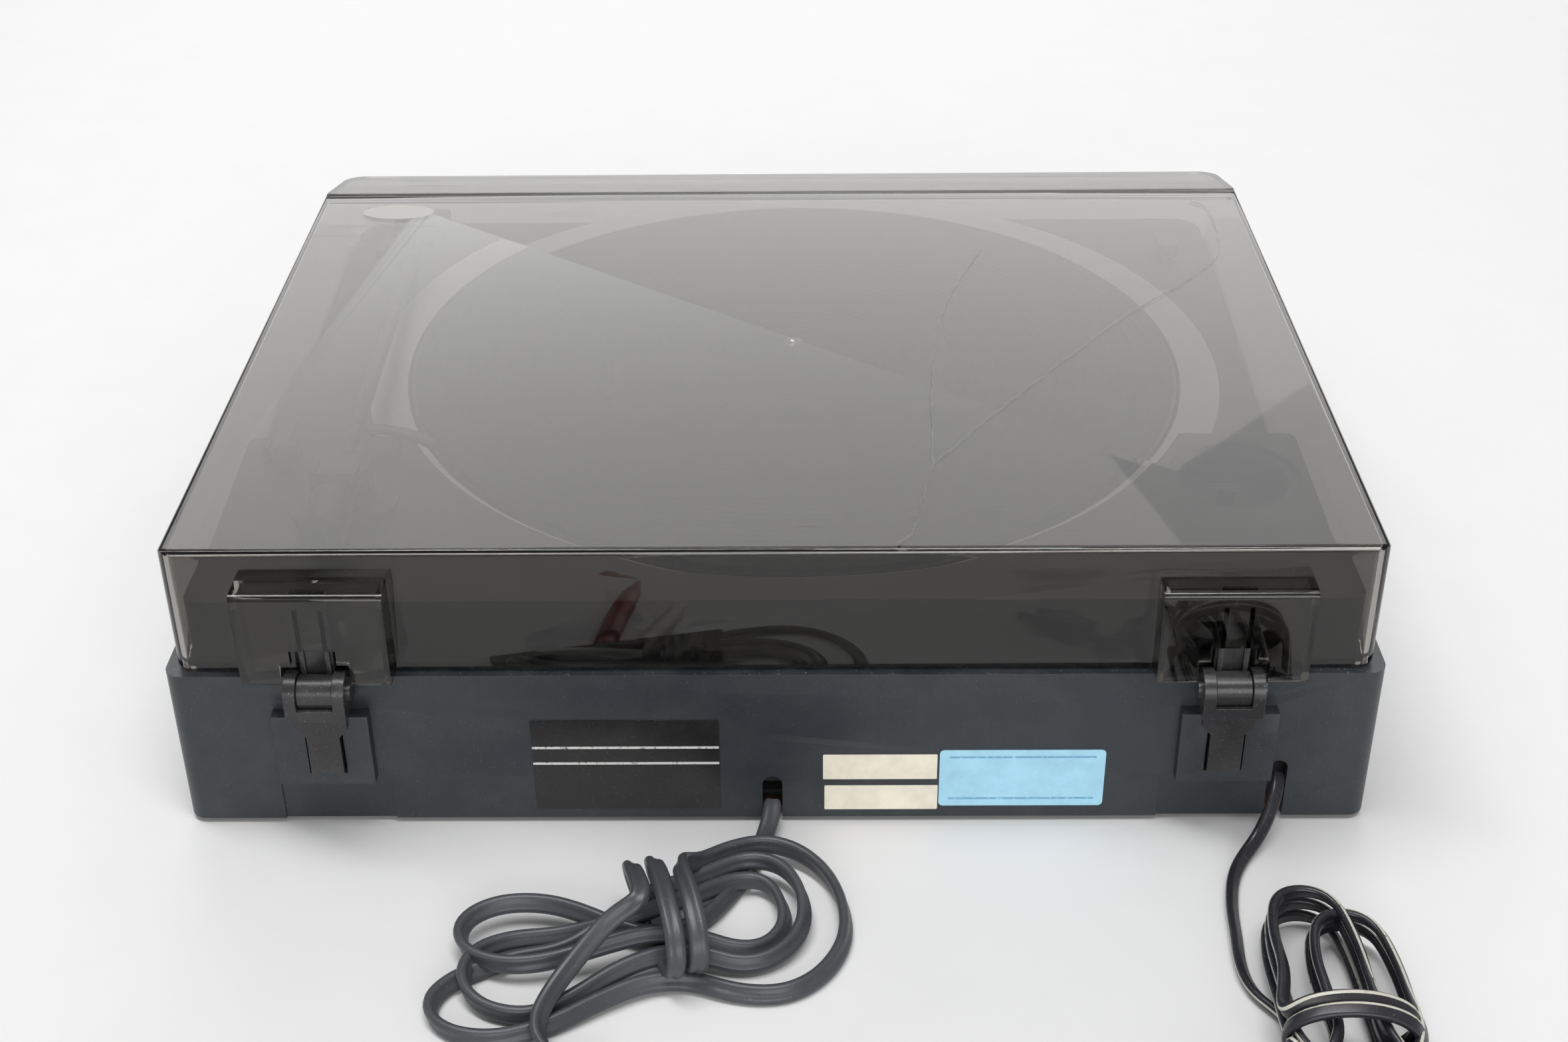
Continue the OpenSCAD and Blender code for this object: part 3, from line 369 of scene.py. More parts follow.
def ruled_label(name, paper, ink, lines, rough=0.25):
    """A plain label with thin ruled lines across it; lines are heights in metres."""
    mat, tree, shader = new_material(name)
    coord = tree.nodes.new("ShaderNodeTexCoord").outputs["Object"]
    sep = tree.nodes.new("ShaderNodeSeparateXYZ")
    tree.links.new(coord, sep.inputs[0])
    mask = None
    for height, half, x0, x1 in lines:
        away = math_node(tree, "ABSOLUTE", math_node(tree, "SUBTRACT", sep.outputs["Z"], height))
        inside = math_node(tree, "LESS_THAN", away, half)
        left = math_node(tree, "GREATER_THAN", sep.outputs["X"], x0)
        right = math_node(tree, "LESS_THAN", sep.outputs["X"], x1)
        one = math_node(tree, "MULTIPLY", inside, math_node(tree, "MULTIPLY", left, right))
        mask = one if mask is None else math_node(tree, "MAXIMUM", mask, one)
    stain = ramp(tree, noise_node(tree, 90.0, 5.0, 0.65), 0.35, 0.75)
    base = mix_colour(tree, stain, shade(paper, 1.06), shade(paper, 0.84))
    if mask is not None:
        worn = math_node(tree, "MULTIPLY", mask, ramp(tree, noise_node(tree, 900.0, 2.0), 0.25, 0.45))
        base = mix_colour(tree, worn, base, ink)
    dusts = group_node(tree, SHARED["dust"], Amount=0.25)
    base = mix_colour(tree, dusts.outputs["Mask"], base, (0.45, 0.43, 0.4))
    tree.links.new(base, shader.inputs["Base Color"])
    tree.links.new(multiply_add(tree, stain, 0.15, rough), shader.inputs["Roughness"])
    bump_normal(tree, shader, noise_node(tree, 500.0, 3.0), 0.1, GRAIN_DEPTH / 2)
    return mat


def cord_finish(name, colour, stripe=None, rough=0.34, stripe_at=(0.0, 0.12)):
    """Soft PVC; a stripe follows the cord by the mesh's own map, which holds the way round."""
    mat, tree, shader = new_material(name)
    uv = tree.nodes.new("ShaderNodeUVMap")
    uv.uv_map = "cord"
    sep = tree.nodes.new("ShaderNodeSeparateXYZ")
    tree.links.new(uv.outputs[0], sep.inputs[0])
    grains = group_node(tree, SHARED["grain"], Scale=1800.0)
    base = mix_colour(tree, grains.outputs["Patches"], shade(colour, 0.85), shade(colour, 1.2))
    if stripe is not None:
        above = math_node(tree, "GREATER_THAN", sep.outputs["Y"], stripe_at[0])
        below = math_node(tree, "LESS_THAN", sep.outputs["Y"], stripe_at[1])
        worn = ramp(tree, noise_node(tree, 350.0, 3.0), 0.25, 0.4)
        within = math_node(tree, "MULTIPLY", above, below)
        base = mix_colour(tree, math_node(tree, "MULTIPLY", within, worn), base, stripe)
    dusts = group_node(tree, SHARED["dust"], Amount=0.22)
    base = mix_colour(tree, dusts.outputs["Mask"], base, (0.4, 0.39, 0.37))
    tree.links.new(base, shader.inputs["Base Color"])
    tree.links.new(multiply_add(tree, grains.outputs["Patches"], 0.1, rough), shader.inputs["Roughness"])
    bump_normal(tree, shader, grains.outputs["Height"], 0.08, GRAIN_DEPTH)
    return mat


def make_materials():
    housing = bpy.context.scene.rp_housing
    cover = bpy.context.scene.rp_cover
    cord = bpy.context.scene.rp_cord
    make_shared()
    m = MATS
    m["housing"] = surface("housing_plastic", tuple(housing.colour), 0.38, grain=2600.0, bump=0.3,
                           dust=0.5, spread=0.16)
    m["deck"] = surface("deck_plastic", (0.014, 0.0145, 0.016), 0.38, grain=2600.0, bump=0.2,
                        dust=0.15, spread=0.2)
    m["board"] = surface("hardboard", tuple(housing.board_colour), 0.8, grain=900.0, bump=0.8,
                         dust=0.3, spread=0.5)
    m["pin"] = surface("pin_steel", (0.06, 0.06, 0.062), 0.34, metal=0.6, grain=1500.0, bump=0.1, dust=0.4)
    m["zinc"] = surface("zinc_steel", (0.5, 0.5, 0.52), 0.35, metal=1.0, grain=1500.0, bump=0.1, dust=0.3)
    m["rubber"] = surface("black_rubber", (0.02, 0.02, 0.021), 0.72, grain=1500.0, bump=0.3, dust=0.6)
    m["ring"] = surface("ring_metal", (0.42, 0.42, 0.41), 0.3, metal=0.8, grain=1800.0, bump=0.08,
                        dust=0.4, spread=0.15)
    m["hinge"] = surface("hinge_plastic", (0.022, 0.022, 0.024), 0.27, grain=1700.0, bump=0.14,
                         dust=0.7, spread=0.4)
    m["fibre"] = surface("washer_fibre", (0.3, 0.2, 0.12), 0.7, grain=1500.0, bump=0.4)
    m["badge"] = surface("badge_foil", (0.30, 0.295, 0.28), 0.42, metal=0.5, grain=3000.0,
                         bump=0.05, dust=0.4, spread=0.12)
    m["platter"] = surface("platter_metal", (0.06, 0.06, 0.065), 0.36, metal=0.3, grain=2200.0, bump=0.1)
    m["spindle"] = surface("spindle_steel", (0.72, 0.72, 0.74), 0.12, metal=1.0, grain=1500.0,
                           bump=0.02, dust=0.1, spread=0.1)
    m["brass"] = surface("bearing_brass", (0.6, 0.44, 0.2), 0.3, metal=1.0, grain=1600.0, bump=0.08)
    m["motor"] = surface("motor_can", (0.42, 0.42, 0.43), 0.4, metal=0.9, grain=1600.0, bump=0.1)
    m["nylon"] = surface("gear_nylon", (0.72, 0.71, 0.66), 0.5, grain=2000.0, bump=0.1)
    m["film"] = surface("capacitor_film", (0.6, 0.38, 0.08), 0.25, grain=1500.0, bump=0.05, coat=0.3)
    m["terminal"] = surface("terminal_plastic", (0.66, 0.63, 0.54), 0.5)
    m["inner"] = surface("inner_plastic", (0.02, 0.02, 0.02), 0.5)
    m["arm"] = surface("arm_plastic", (0.026, 0.026, 0.029), 0.4, bump=0.1)
    m["arm_paint"] = surface("arm_paint", (0.035, 0.035, 0.038), 0.28, metal=0.4, bump=0.04)
    m["weight"] = surface("weight_steel", (0.07, 0.07, 0.072), 0.3, metal=0.8, bump=0.04)
    m["shell"] = surface("headshell_plastic", (0.032, 0.032, 0.035), 0.35, bump=0.1)
    m["cartridge"] = surface("cartridge_plastic", (0.022, 0.022, 0.024), 0.3, bump=0.08)
    m["stylus"] = surface("stylus_plastic", (0.5, 0.05, 0.03), 0.28, bump=0.05, dust=0.1)
    m["lever"] = surface("lever_plastic", (0.06, 0.06, 0.064), 0.3, bump=0.1)
    m["white"] = surface("plug_white", (0.72, 0.7, 0.66), 0.35, bump=0.05, dust=0.15)
    m["red"] = surface("plug_red", (0.26, 0.018, 0.015), 0.35, bump=0.05, dust=0.15)
    m["mains_plug"] = surface("mains_plug_pvc", (0.016, 0.016, 0.018), 0.42, bump=0.15)
    m["crack"] = surface("crack_light", (0.8, 0.79, 0.77), 0.3, grain=1200.0, bump=0.2, dust=0.2)
    m["mat"] = surface("mat_rubber", (0.016, 0.016, 0.017), 0.7, grain=1500.0, bump=0.2, dust=0.12)
    tree = m["mat"].node_tree
    rings = radial_wave(tree, PLATTER_CENTRE, 2 * math.pi / MAT_GROOVE_PITCH)
    bump_normal(tree, tree.nodes["Principled BSDF"], rings, 0.5, 0.0005)
    m["acrylic"] = smoked_acrylic(cover)
    m["signal"] = cord_finish("signal_pvc", tuple(cord.signal_colour), rough=0.33)
    m["mains"] = cord_finish("mains_pvc", tuple(cord.mains_colour), tuple(cord.stripe_colour), rough=0.24,
                             stripe_at=(0.02, 0.115))
    m["plate"] = ruled_label(
        "black_label", (0.012, 0.012, 0.013), (0.68, 0.68, 0.66),
        [(0.0324, 0.0005, 0.0190, 0.0826), (0.0257, 0.0005, 0.0190, 0.0826)], rough=0.2)
    m["cream"] = ruled_label("cream_paper", (0.9, 0.84, 0.7), (0.2, 0.15, 0.1), [], rough=0.55)
    m["blue"] = ruled_label(
        "blue_label", (0.41, 0.74, 0.92), (0.16, 0.42, 0.62),
        [(0.0100, 0.0004, -0.1095, -0.0595), (0.0278, 0.0004, -0.1095, -0.0595)], rough=0.3)


# ---- helpers for pieces ------------------------------------------------------
def link(obj):
    bpy.context.scene.collection.objects.link(obj)
    return obj


def object_from(bm, name, material, smooth_angle=35.0):
    bmesh.ops.recalc_face_normals(bm, faces=bm.faces)
    mesh = bpy.data.meshes.new(name)
    bm.to_mesh(mesh)
    bm.free()
    mesh.materials.append(material)
    mesh.shade_smooth()
    mesh.set_sharp_from_angle(angle=math.radians(smooth_angle))
    return link(bpy.data.objects.new(name, mesh))


def paint(material, *names):
    """A finish on CAD nodes as they are."""
    for name in names:
        mesh = NODES[name].data
        mesh.materials.clear()
        mesh.materials.append(material)


def softened(node, name, body, material, width, segments=2, angle=40.0):
    """A merged copy of a CAD node with rounded edges, which stands for the node."""
    bm = bmesh.new()
    bm.from_mesh(NODES[node].data)
    bmesh.ops.remove_doubles(bm, verts=bm.verts, dist=1e-6)
    bmesh.ops.dissolve_limit(bm, angle_limit=math.radians(0.5), use_dissolve_boundaries=False,
                             verts=bm.verts, edges=bm.edges)
    mesh = bpy.data.meshes.new(name)
    bm.to_mesh(mesh)
    bm.free()
    mesh.materials.append(material)
    mesh.shade_smooth()
    mesh.set_sharp_from_angle(angle=math.radians(angle))
    obj = link(bpy.data.objects.new(name, mesh))
    if width:
        bevel = obj.modifiers.new("soft edges", "BEVEL")
        bevel.width = width
        bevel.segments = segments
        bevel.limit_method = "ANGLE"
        bevel.angle_limit = math.radians(angle)
        bevel.use_clamp_overlap = True
        bevel.harden_normals = True
        bevel.miter_outer = "MITER_ARC"
    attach(obj, body)
    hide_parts(node)
    return obj


def catmull(points, step):
    """Evenly spaced points along a smooth curve through the given ones."""
    pts = [Vector(p) for p in points]
    dense = []
    for i in range(len(pts) - 1):
        a, b = pts[max(i - 1, 0)], pts[i]
        c, d = pts[i + 1], pts[min(i + 2, len(pts) - 1)]
        n = max(2, int((c - b).length / (step / 4)))
        for k in range(n):
            t = k / n
            dense.append(0.5 * (2 * b + (c - a) * t + (2 * a - 5 * b + 4 * c - d) * t * t
                                + (3 * b - a - 3 * c + d) * t ** 3))
    dense.append(pts[-1])
    total = [0.0]
    for a, b in zip(dense, dense[1:]):
        total.append(total[-1] + (b - a).length)
    count = max(2, int(round(total[-1] / step)))
    out, j = [], 0
    for i in range(count + 1):
        want = total[-1] * i / count
        while j < len(total) - 2 and total[j + 1] < want:
            j += 1
        gap = total[j + 1] - total[j]
        out.append(dense[j].lerp(dense[j + 1], 0 if gap == 0 else (want - total[j]) / gap))
    return out


def eased(points, times, weight=0.5):
    """Points drawn towards the middle of their neighbours, ends kept."""
    pts = [p.copy() for p in points]
    for _ in range(times):
        inner = [pts[i].lerp((pts[i - 1] + pts[i + 1]) / 2, weight) for i in range(1, len(pts) - 1)]
        pts = [pts[0]] + inner + [pts[-1]]
    return pts


# how quickly a cord's width turns to where it should face, how far that direction must
# lie off the cord's own, the closed end's size, and the points over which it lifts
SETTLE = 0.12
FACING_MIN = 0.3
END_SCALE = 0.85
LIFT_REACH = 4


def around(values, i):
    """The values near place i."""
    return values[max(0, i - LIFT_REACH):i + LIFT_REACH + 1]


def sweep(name, path, outline, material, side, facing):
    """A tube of the given outline along a path, with a map of length and way round."""
    bm = bmesh.new()
    layer = bm.loops.layers.uv.new("cord")
    sections, count = [], len(outline)
    along = [0.0]
    for a, b in zip(path, path[1:]):
        along.append(along[-1] + (b - a).length)
    side = Vector(side)
    for i, p in enumerate(path):
        ahead = (path[min(i + 1, len(path) - 1)] - path[max(i - 1, 0)]).normalized()
        side = (side - ahead * side.dot(ahead)).normalized()
        want = facing(p)
        want = want - ahead * want.dot(ahead)
        if want.length > FACING_MIN:
            want.normalize()
            side = side.lerp(want if want.dot(side) >= 0 else -want, SETTLE).normalized()
        up = side.cross(ahead)
        k = END_SCALE if i in (0, len(path) - 1) else 1.0
        sections.append([(side * x + up * y) * k for x, y in outline])
    low = [max(0.0, TABLE_GAP - min((p + q).z for q in section)) for p, section in zip(path, sections)]
    low = [max(around(low, i)) for i in range(len(low))]
    low = [sum(around(low, i)) / len(around(low, i)) for i in range(len(low))]
    path = [p + Vector((0, 0, z)) for p, z in zip(path, low)]
    rings = [[bm.verts.new(p + q) for q in section] for p, section in zip(path, sections)]
    for i in range(len(rings) - 1):
        for k in range(count):
            n = (k + 1) % count
            face = bm.faces.new((rings[i][k], rings[i][n], rings[i + 1][n], rings[i + 1][k]))
            for loop, (u, v) in zip(face.loops, ((i, k), (i, k + 1), (i + 1, k + 1), (i + 1, k))):
                loop[layer].uv = (along[u], v / count)
    bm.faces.new(list(reversed(rings[0])))
    bm.faces.new(rings[-1])
    return object_from(bm, name, material, 60.0), path


def twin_outline(width, height):
    """Two round lobes side by side with a groove between them."""
    r = height / 2
    c = width / 2 - r
    pts = []
    for k in range(9):
        a = math.radians(-125 + 250 * k / 8)
        pts.append((c + r * math.cos(a), r * math.sin(a)))
    for k in range(9):
        a = math.radians(55 + 250 * k / 8)
        pts.append((-c + r * math.cos(a), r * math.sin(a)))
    return pts


def flat_outline(width, height):
    """A flat cord with round sides and a faint groove."""
    r = height / 2
    c = width / 2 - r
    pts = []
    for k in range(7):
        a = math.radians(-90 + 180 * k / 6)
        pts.append((c + r * math.cos(a), r * math.sin(a)))
    pts.append((0.0, r * 0.86))
    for k in range(7):
        a = math.radians(90 + 180 * k / 6)
        pts.append((-c + r * math.cos(a), r * math.sin(a)))
    pts.append((0.0, -r * 0.86))
    return pts


# ---- cords -------------------------------------------------------------------
# routes of the loose stretches, as in the part's source, in millimetres
SIGNAL_ROUTE = [(1, 171, 8.5), (1, 176, 7), (3, 182, 3.5), (5, 189, 1.8), (7, 196, 1.8), (9, 203, 1.8)]
MAINS_ROUTE = [(-172, 171, 20), (-171, 177, 17.5), (-168, 182, 11.5), (-164, 187, 5), (-158, 194, 2),
               (-153, 204, 1.5), (-150, 218, 1.5), (-149, 232, 1.5), (-148, 246, 1.5), (-150, 258, 1.5),
               (-157, 268, 1.5)]


def signal_path():
    """The signal cord: in under the hank, three turns, two wraps round them, out to the plugs."""
    pts = [Vector(p) for p in SIGNAL_ROUTE]
    add = lambda *rows: pts.extend(Vector(r) for r in rows)
    # lead in, along the middle
    add((14, 212, 1.9), (20, 222, 3.0), (28, 230, 4.4), (37, 235, 5.0), (50, 232, 6.2))
    # first turn: the raised upper left loop, back, innermost right loop
    add((62, 226.5, 7.4), (74, 222.5, 8.0), (88, 222.5, 8.0), (98, 228, 7.8), (101, 236, 7.4), (96, 245, 7.0),
        (84, 249.5, 6.8), (70, 248, 7.2), (58, 244, 8.2), (48, 241, 9.4), (37, 238.5, 9.8), (24, 238, 7.0),
        (13, 240, 3.8), (3, 238, 2.2), (-3.6, 229, 3.0), (-2.4, 218, 4.4), (4, 208.5, 5.4), (15, 210.5, 6.4))
    # second turn
    add((26, 219, 8.0), (37, 225.5, 9.6), (50, 231, 8.0), (68, 233, 3.8), (84, 235.5, 4.2), (95, 243, 5.6),
        (97.5, 255, 5.8), (90, 265.5, 4.4), (75, 268, 3.0), (61, 261, 4.6), (50, 253, 6.6),
        (37, 246.5, 7.6), (24, 244, 6.2), (10, 247, 4.2), (-2, 242.5, 4.4), (-9.4, 231, 5.6),
        (-9.2, 217, 7.2),
        (-2, 204.5, 8.2), (9, 201.5, 8.4), (18, 206.5, 8.6))
    # third turn, the widest
    add((27, 213, 9.4), (37, 218, 10.2), (49, 226, 8.0), (66, 238.5, 2.4), (84, 243.5, 2.0), (100, 252, 2.0),
        (107, 263, 2.0), (101, 274, 2.0), (86, 278, 2.0), (69, 272.5, 2.4), (54, 263, 4.2),
        (40, 255.5, 4.6), (26, 253.5, 3.4), (10, 258.5, 2.2), (-5, 258, 1.9), (-17, 248, 1.9),
        (-23.3, 232, 2.6),
        (-21, 213, 4.4), (-11.5, 198, 5.8), (2, 191.5, 6.8), (15, 196, 8.0), (24, 204, 10.0))
    # two wraps round the waist
    for k in range(28):
        a = math.radians(62 + 28 * k)
        add(WAIST + ALONG * (-9.5 + 15.5 * k / 27) - ACROSS * (23.0 * math.cos(a))
            + Vector((0, 0, 14.6 + 12.8 * math.sin(a))))
    # over the turns and out
    add((50, 244, 22.0), (60, 254, 15.5), (68, 265, 10.5), (72, 276, 7.4), (68, 285, 5.2), (60, 290, 4.6))
    return [p * MM for p in pts]


# the signal hank's waist: its middle, the way along the hank and the way across it
WAIST = Vector((36.0, 236.5, 0))
ALONG = Vector((0.956, 0.292, 0))
ACROSS = Vector((-0.292, 0.956, 0))


def signal_facing(p):
    """Which way the twin cord's width lies: along the hank in the wraps, tilted elsewhere."""
    local = p / MM - WAIST
    near = abs(local.dot(ALONG)) < 13.0 and (p.z / MM > 13.0 or abs(local.dot(ACROSS)) > 20.5)
    return ALONG if near else Vector((0.1, -0.62, 0.78))


def mains_facing(p):
    """The flat cord's striped edge looks up and to the left, and up over the wraps."""
    return Vector((0.62, -0.35, 0.70)) if p.y < 0.276 or p.y > 0.296 else Vector((0.0, -0.8, 0.6))


def mains_path():
    """The mains cord: a bend on the table, five stacked turns, two wraps, out to the plug."""
    pts = [Vector(p) for p in MAINS_ROUTE]
    add = lambda *rows: pts.extend(Vector(r) for r in rows)
    add((-159.5, 278, 2.4))
    rights = [-157.0, -156.0, -168.0, -156.5, -168.5, -156.5]
    lefts = [-182.0, -194.0, -182.5, -193.5, -182.0]
    nears = [233.0, 241.0, 234.0, 242.5, 235.0]
    half = 13.0
    rise = 3.05
    z = 1.6
    for j in range(5):
        right, left, after = rights[j], lefts[j], rights[j + 1]
        middle = (right + left) / 2
        y_far = 307.0 - (j % 2) * 3
        arch, wide = (left + after) / 2, (after - left) / 2
        y_near = nears[j] + wide * 0.4
        add((right, 276, z + 2.0), (right, 288, z + 3.3), (middle + half * 0.96, 301, z + 1.6),
            (middle + half * 0.74, y_far + half * 0.68, z + 0.3), (middle, y_far + half, z + 0.5),
            (middle - half * 0.74, y_far + half * 0.68, z + 0.7), (middle - half * 0.96, 301, z + 1.8),
            (left, 288, z + 3.6), (left, 272, z + 2.8), (left, y_near + 8, z + 2.0),
            (arch - wide * 0.74, y_near - wide * 0.68, z + 2.7), (arch, y_near - wide, z + 3.6),
            (arch + wide * 0.74, y_near - wide * 0.68, z + 3.4), (after, y_near + 8, z + rise + 0.5),
            (after, 264, z + rise + 1.2))
        z += rise
    # two wraps round the waist, then out to the plug
    for k in range(27):
        a = math.radians(12 + 28 * k)
        add((-173.0 + 20.5 * math.cos(a), 281.0 + 10.0 * k / 26, 13.0 + 11.2 * math.sin(a)))
    add((-155.5, 296, 10.0), (-156.5, 298.5, 7.4), (-154.5, 302.0, 6.5))
    return [p * MM for p in pts]


# ---- operators: one for each group of pieces ---------------------------------
class RP_OT_materials(bpy.types.Operator):
    """Make every finish of the player"""
    bl_idname = "rp.materials"
    bl_label = "Make materials"

    def execute(self, context):
        make_materials()
        return {"FINISHED"}


# heights of the two cords' sections, where they leave the housing, and how finely and how
# smoothly their paths are drawn, in metres
SIGNAL_HEIGHT = 0.0034
MAINS_HEIGHT = 0.0028
CORD_STEP = 0.0022
CORD_EASING = 6


class RP_OT_cords(bpy.types.Operator):
    """Add the signal and mains cords, each in one piece through its hank"""
    bl_idname = "rp.cords"
    bl_label = "Add cords"

    def execute(self, context):
        settings = context.scene.rp_cord
        path = eased(catmull(signal_path(), CORD_STEP), CORD_EASING)
        signal, path = sweep("signal_cord", path, twin_outline(settings.signal_width, SIGNAL_HEIGHT),
                             MATS["signal"], (1, 0, 0), signal_facing)
        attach(signal, "housing")
        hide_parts("signal_cord_run", "signal_cord_hank")
        path = eased(catmull(mains_path(), CORD_STEP), CORD_EASING)
        mains, path = sweep("mains_cord", path, flat_outline(settings.mains_width, MAINS_HEIGHT),
                            MATS["mains"], (0.8, 0, 0.3), mains_facing)
        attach(mains, "housing")
        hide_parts("mains_cord_run", "mains_cord_hank")
        paint(MATS["white"], "signal_plug_left")
        paint(MATS["red"], "signal_plug_right")
        paint(MATS["mains_plug"], "mains_plug")
        return {"FINISHED"}


class RP_OT_housing(bpy.types.Operator):
    """Add the plinth with softened edges, the board, feet, screws and labels"""
    bl_idname = "rp.housing"
    bl_label = "Add housing"

    def execute(self, context):
        edge = context.scene.rp_housing.edge
        softened("plinth", "plinth_shell", "housing", MATS["housing"], edge)
        paint(MATS["board"], "base_board")
        paint(MATS["zinc"], "base_screws")
        paint(MATS["rubber"], "feet", "lid_bumpers")
        paint(MATS["plate"], "rating_plate")
        paint(MATS["cream"], "date_labels")
        paint(MATS["blue"], "approval_label")
        return {"FINISHED"}


class RP_OT_hinges(bpy.types.Operator):
    """Add the two hinges: bodies, leaves, pins and washers"""
    bl_idname = "rp.hinges"
    bl_label = "Add hinges"

    def execute(self, context):
        for end in ("left", "right"):
            softened("hinge_body_" + end, "hinge_knuckle_" + end, "housing",
                     MATS["hinge"], 0.0007, segments=3, angle=30.0)
            softened("hinge_leaf_" + end, "hinge_strap_" + end, "dust_cover",
                     MATS["hinge"], 0.0004)
            paint(MATS["pin"], "hinge_pin_" + end)
        paint(MATS["fibre"], "hinge_washers")
        return {"FINISHED"}


class RP_OT_cover(bpy.types.Operator):
    """Add the smoked cover with its cracks and badge"""
    bl_idname = "rp.cover"
    bl_label = "Add cover"

    def execute(self, context):
        edge = context.scene.rp_cover.edge
        softened("lid", "cover_shell", "dust_cover", MATS["acrylic"], edge, segments=3)
        paint(MATS["badge"], "lid_badge")
        cracks = crack_sheets()
        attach(cracks, "dust_cover")
        return {"FINISHED"}


# half the thickness of a crack's sheet, and its height range, in metres
CRACK_HALF = 0.00005
CRACK_LOW = 0.1078
CRACK_HIGH = 0.10985
# cracks inside the cover's top, in millimetres
CRACKS = (
    ((-84.7, -64.4), (-66.4, -11.3), (-59.1, 36.7), (-56.7, 67.9), (-54.5, 114.2), (-49.8, 135.8),
     (-46.2, 155.9), (-40.6, 164.2)),
    ((-54.5, 114.2), (-90, 62), (-132.7, 3.6), (-151.4, -17.5), (-177, -48.8), (-183.2, -71.1),
     (-183.6, -102.8), (-177.6, -111.0)),
)


def crack_sheets():
    """Thin upright sheets that wander along each crack within the wall."""
    rng = random.Random(7)
    bm = bmesh.new()
    for line in CRACKS:
        pts = catmull([(x * MM, y * MM, 0) for x, y in line], 0.004)
        rows = []
        for i, p in enumerate(pts):
            ahead = (pts[min(i + 1, len(pts) - 1)] - pts[max(i - 1, 0)]).normalized()
            side = Vector((-ahead.y, ahead.x, 0))
            wander = side * rng.uniform(-0.0004, 0.0004)
            low = CRACK_LOW + rng.uniform(0.0, 0.0007)
            lean = side * rng.uniform(-0.0003, 0.0003)
            rows.append([bm.verts.new(p + wander + side * CRACK_HALF * s + lean * t + Vector((0, 0, z)))
                         for s, t, z in ((-1, 1, low), (1, 1, low), (1, 0, CRACK_HIGH), (-1, 0, CRACK_HIGH))])
        for a, b in zip(rows, rows[1:]):
            for k in range(4):
                n = (k + 1) % 4
                bm.faces.new((a[k], a[n], b[n], b[k]))
        bm.faces.new(list(reversed(rows[0])))
        bm.faces.new(rows[-1])
    return object_from(bm, "cover_cracks", MATS["crack"])


class RP_OT_deck(bpy.types.Operator):
    """Finish the deck, its ring, levers and the fittings under it"""
    bl_idname = "rp.deck"
    bl_label = "Add deck"

    def execute(self, context):
        softened("deck", "deck_shell", "housing", MATS["deck"], 0.0006)
        paint(MATS["ring"], "platter_trim_ring")
        paint(MATS["lever"], "start_lever", "speed_lever")
        paint(MATS["film"], "capacitor")
        paint(MATS["terminal"], "terminal_strip")
        paint(MATS["inner"], "power_switch", "signal_cord_clamp", "mains_cord_clamp")
        return {"FINISHED"}


class RP_OT_drive(bpy.types.Operator):
    """Finish the platter, mat, bearing, motor, belt and return gear"""
    bl_idname = "rp.drive"
    bl_label = "Add drive"

    def execute(self, context):
        paint(MATS["platter"], "platter", "platter_skirt", "platter_belt_rim", "platter_hub")
        paint(MATS["mat"], "platter_mat")
        paint(MATS["spindle"], "spindle")
        paint(MATS["brass"], "bearing_sleeve", "motor_pulley")
        paint(MATS["motor"], "motor")
        paint(MATS["rubber"], "motor_grommets", "drive_belt")
        paint(MATS["nylon"], "return_gear")
        paint(MATS["zinc"], "bearing_screws", "motor_screws", "thrust_ball", "return_gear_axle")
        return {"FINISHED"}


class RP_OT_tonearm(bpy.types.Operator):
    """Finish the tonearm with its headshell, rest and cue parts"""
    bl_idname = "rp.tonearm"
    bl_label = "Add tonearm"

    def execute(self, context):
        paint(MATS["arm"], "tonearm_base", "arm_yoke", "arm_rest", "cue_base")
        paint(MATS["arm_paint"], "arm_tube")
        paint(MATS["weight"], "counterweight")
        paint(MATS["shell"], "headshell")
        paint(MATS["cartridge"], "cartridge")
        paint(MATS["stylus"], "stylus")
        paint(MATS["lever"], "cue_lever", "cue_lifter")
        return {"FINISHED"}


# each soft light: its name, its setting, where it is, what it faces, its width and height
PANELS = (
    ("far_panel", "far_light", (0.0, -1.9, 1.2), (0.0, 0.0, 0.1), 2.5, 1.5),
    ("top_panel", "top_light", (0.3, -0.1, 2.2), (0.0, 0.0, 0.0), 2.2, 1.6),
    ("strip_lamp", "strip_light", (0.15, 0.3, 2.1), (0.0, 0.1, 0.0), 2.0, 0.45),
    ("near_panel", "near_light", (-0.3, 2.7, 0.95), (0.0, 0.0, 0.05), 2.2, 1.2),
)


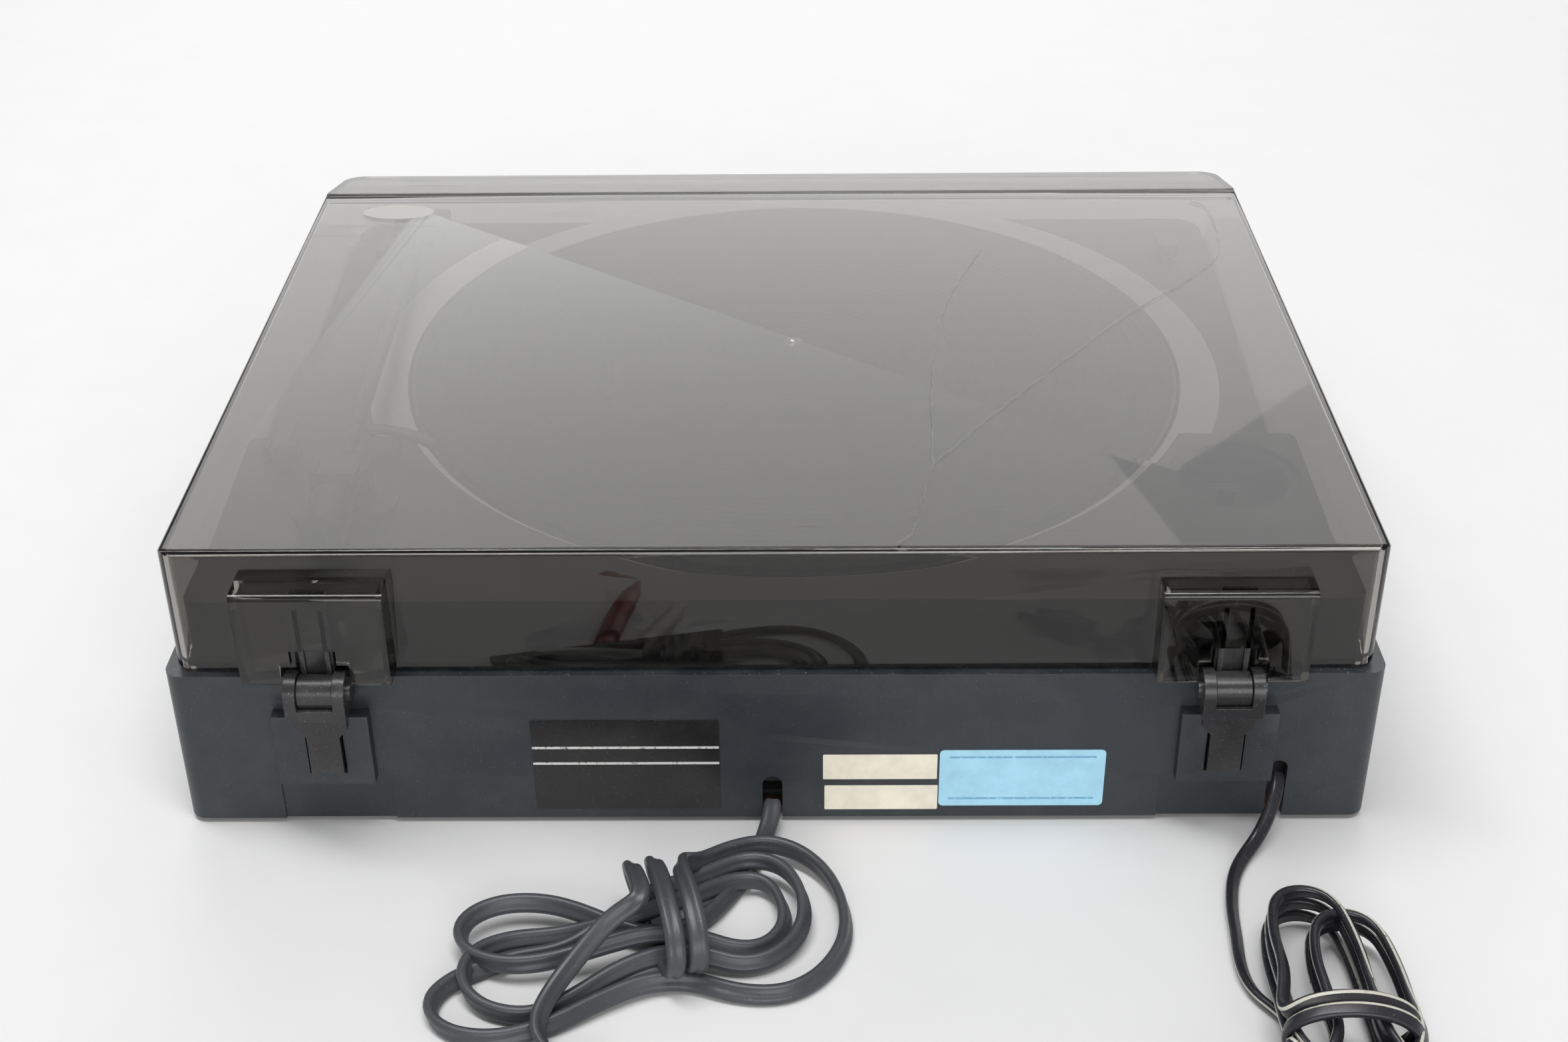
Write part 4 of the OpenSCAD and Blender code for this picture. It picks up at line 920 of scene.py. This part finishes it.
class RP_OT_stage(bpy.types.Operator):
    """Set the pale floor, the soft lights and the camera"""
    bl_idname = "rp.stage"
    bl_label = "Set stage"

    def execute(self, context):
        settings = context.scene.rp_stage
        scene = context.scene
        bm = bmesh.new()
        bmesh.ops.create_grid(bm, x_segments=8, y_segments=8, size=6.0)
        floor_mat = surface("floor", tuple(settings.floor_colour), 0.75, grain=60.0, bump=0.0, dust=0.0,
                            spread=0.02, specular=0.2)
        mesh = bpy.data.meshes.new("floor")
        bm.to_mesh(mesh)
        bm.free()
        mesh.materials.append(floor_mat)
        floor = link(bpy.data.objects.new("floor", mesh))
        lights = [panel(name, getattr(settings, power), place, target, width, height)
                  for name, power, place, target, width, height in PANELS]
        world = bpy.data.worlds.new("room")
        world.use_nodes = True
        back = world.node_tree.nodes["Background"]
        back.inputs["Color"].default_value = (1.0, 1.0, 1.0, 1.0)
        back.inputs["Strength"].default_value = settings.world_light
        scene.world = world
        scene.view_settings.view_transform = "Standard"
        data = bpy.data.cameras.new("camera")
        data.lens = CAMERA_LENS
        data.sensor_width = 36.0
        data.sensor_fit = "HORIZONTAL"
        data.clip_start = 0.01
        camera = link(bpy.data.objects.new("camera", data))
        turn = Matrix((CAMERA_RIGHT, CAMERA_UP, tuple(-c for c in CAMERA_AHEAD))).transposed()
        camera.matrix_world = Matrix.Translation(CAMERA_PLACE) @ turn.to_4x4()
        scene.camera = camera
        return {"FINISHED"}


def panel(name, power, place, target, width, height):
    data = bpy.data.lights.new(name, "AREA")
    data.shape = "RECTANGLE"
    data.size = width
    data.size_y = height
    data.energy = power
    obj = link(bpy.data.objects.new(name, data))
    obj.location = place
    obj.rotation_euler = (Vector(target) - Vector(place)).to_track_quat("-Z", "Y").to_euler()
    return obj


OPERATORS = (RP_OT_materials, RP_OT_stage, RP_OT_cords, RP_OT_housing, RP_OT_hinges, RP_OT_cover, RP_OT_deck,
             RP_OT_drive, RP_OT_tonearm)


class RP_PT_player(bpy.types.Panel):
    bl_idname = "RP_PT_player"
    bl_label = "Record player"
    bl_space_type = "VIEW_3D"
    bl_region_type = "UI"
    bl_category = "Record player"

    def draw(self, context):
        for group, _ in GROUPS:
            settings = getattr(context.scene, group)
            for name in settings.bl_rna.properties.keys():
                if name not in ("rna_type", "name"):
                    self.layout.prop(settings, name)
        for operator in OPERATORS:
            self.layout.operator(operator.bl_idname)


def register():
    for group, kind in GROUPS:
        bpy.utils.register_class(kind)
        setattr(bpy.types.Scene, group, PointerProperty(type=kind))
    for operator in OPERATORS:
        bpy.utils.register_class(operator)
    bpy.utils.register_class(RP_PT_player)


def unregister():
    bpy.utils.unregister_class(RP_PT_player)
    for operator in reversed(OPERATORS):
        bpy.utils.unregister_class(operator)
    for group, kind in reversed(GROUPS):
        delattr(bpy.types.Scene, group)
        bpy.utils.unregister_class(kind)


def main():
    register()
    bpy.ops.rp.materials()
    bpy.ops.rp.stage()
    bpy.ops.rp.cords()
    bpy.ops.rp.housing()
    bpy.ops.rp.hinges()
    bpy.ops.rp.cover()
    bpy.ops.rp.deck()
    bpy.ops.rp.drive()
    bpy.ops.rp.tonearm()


if __name__ == "__main__":
    main()
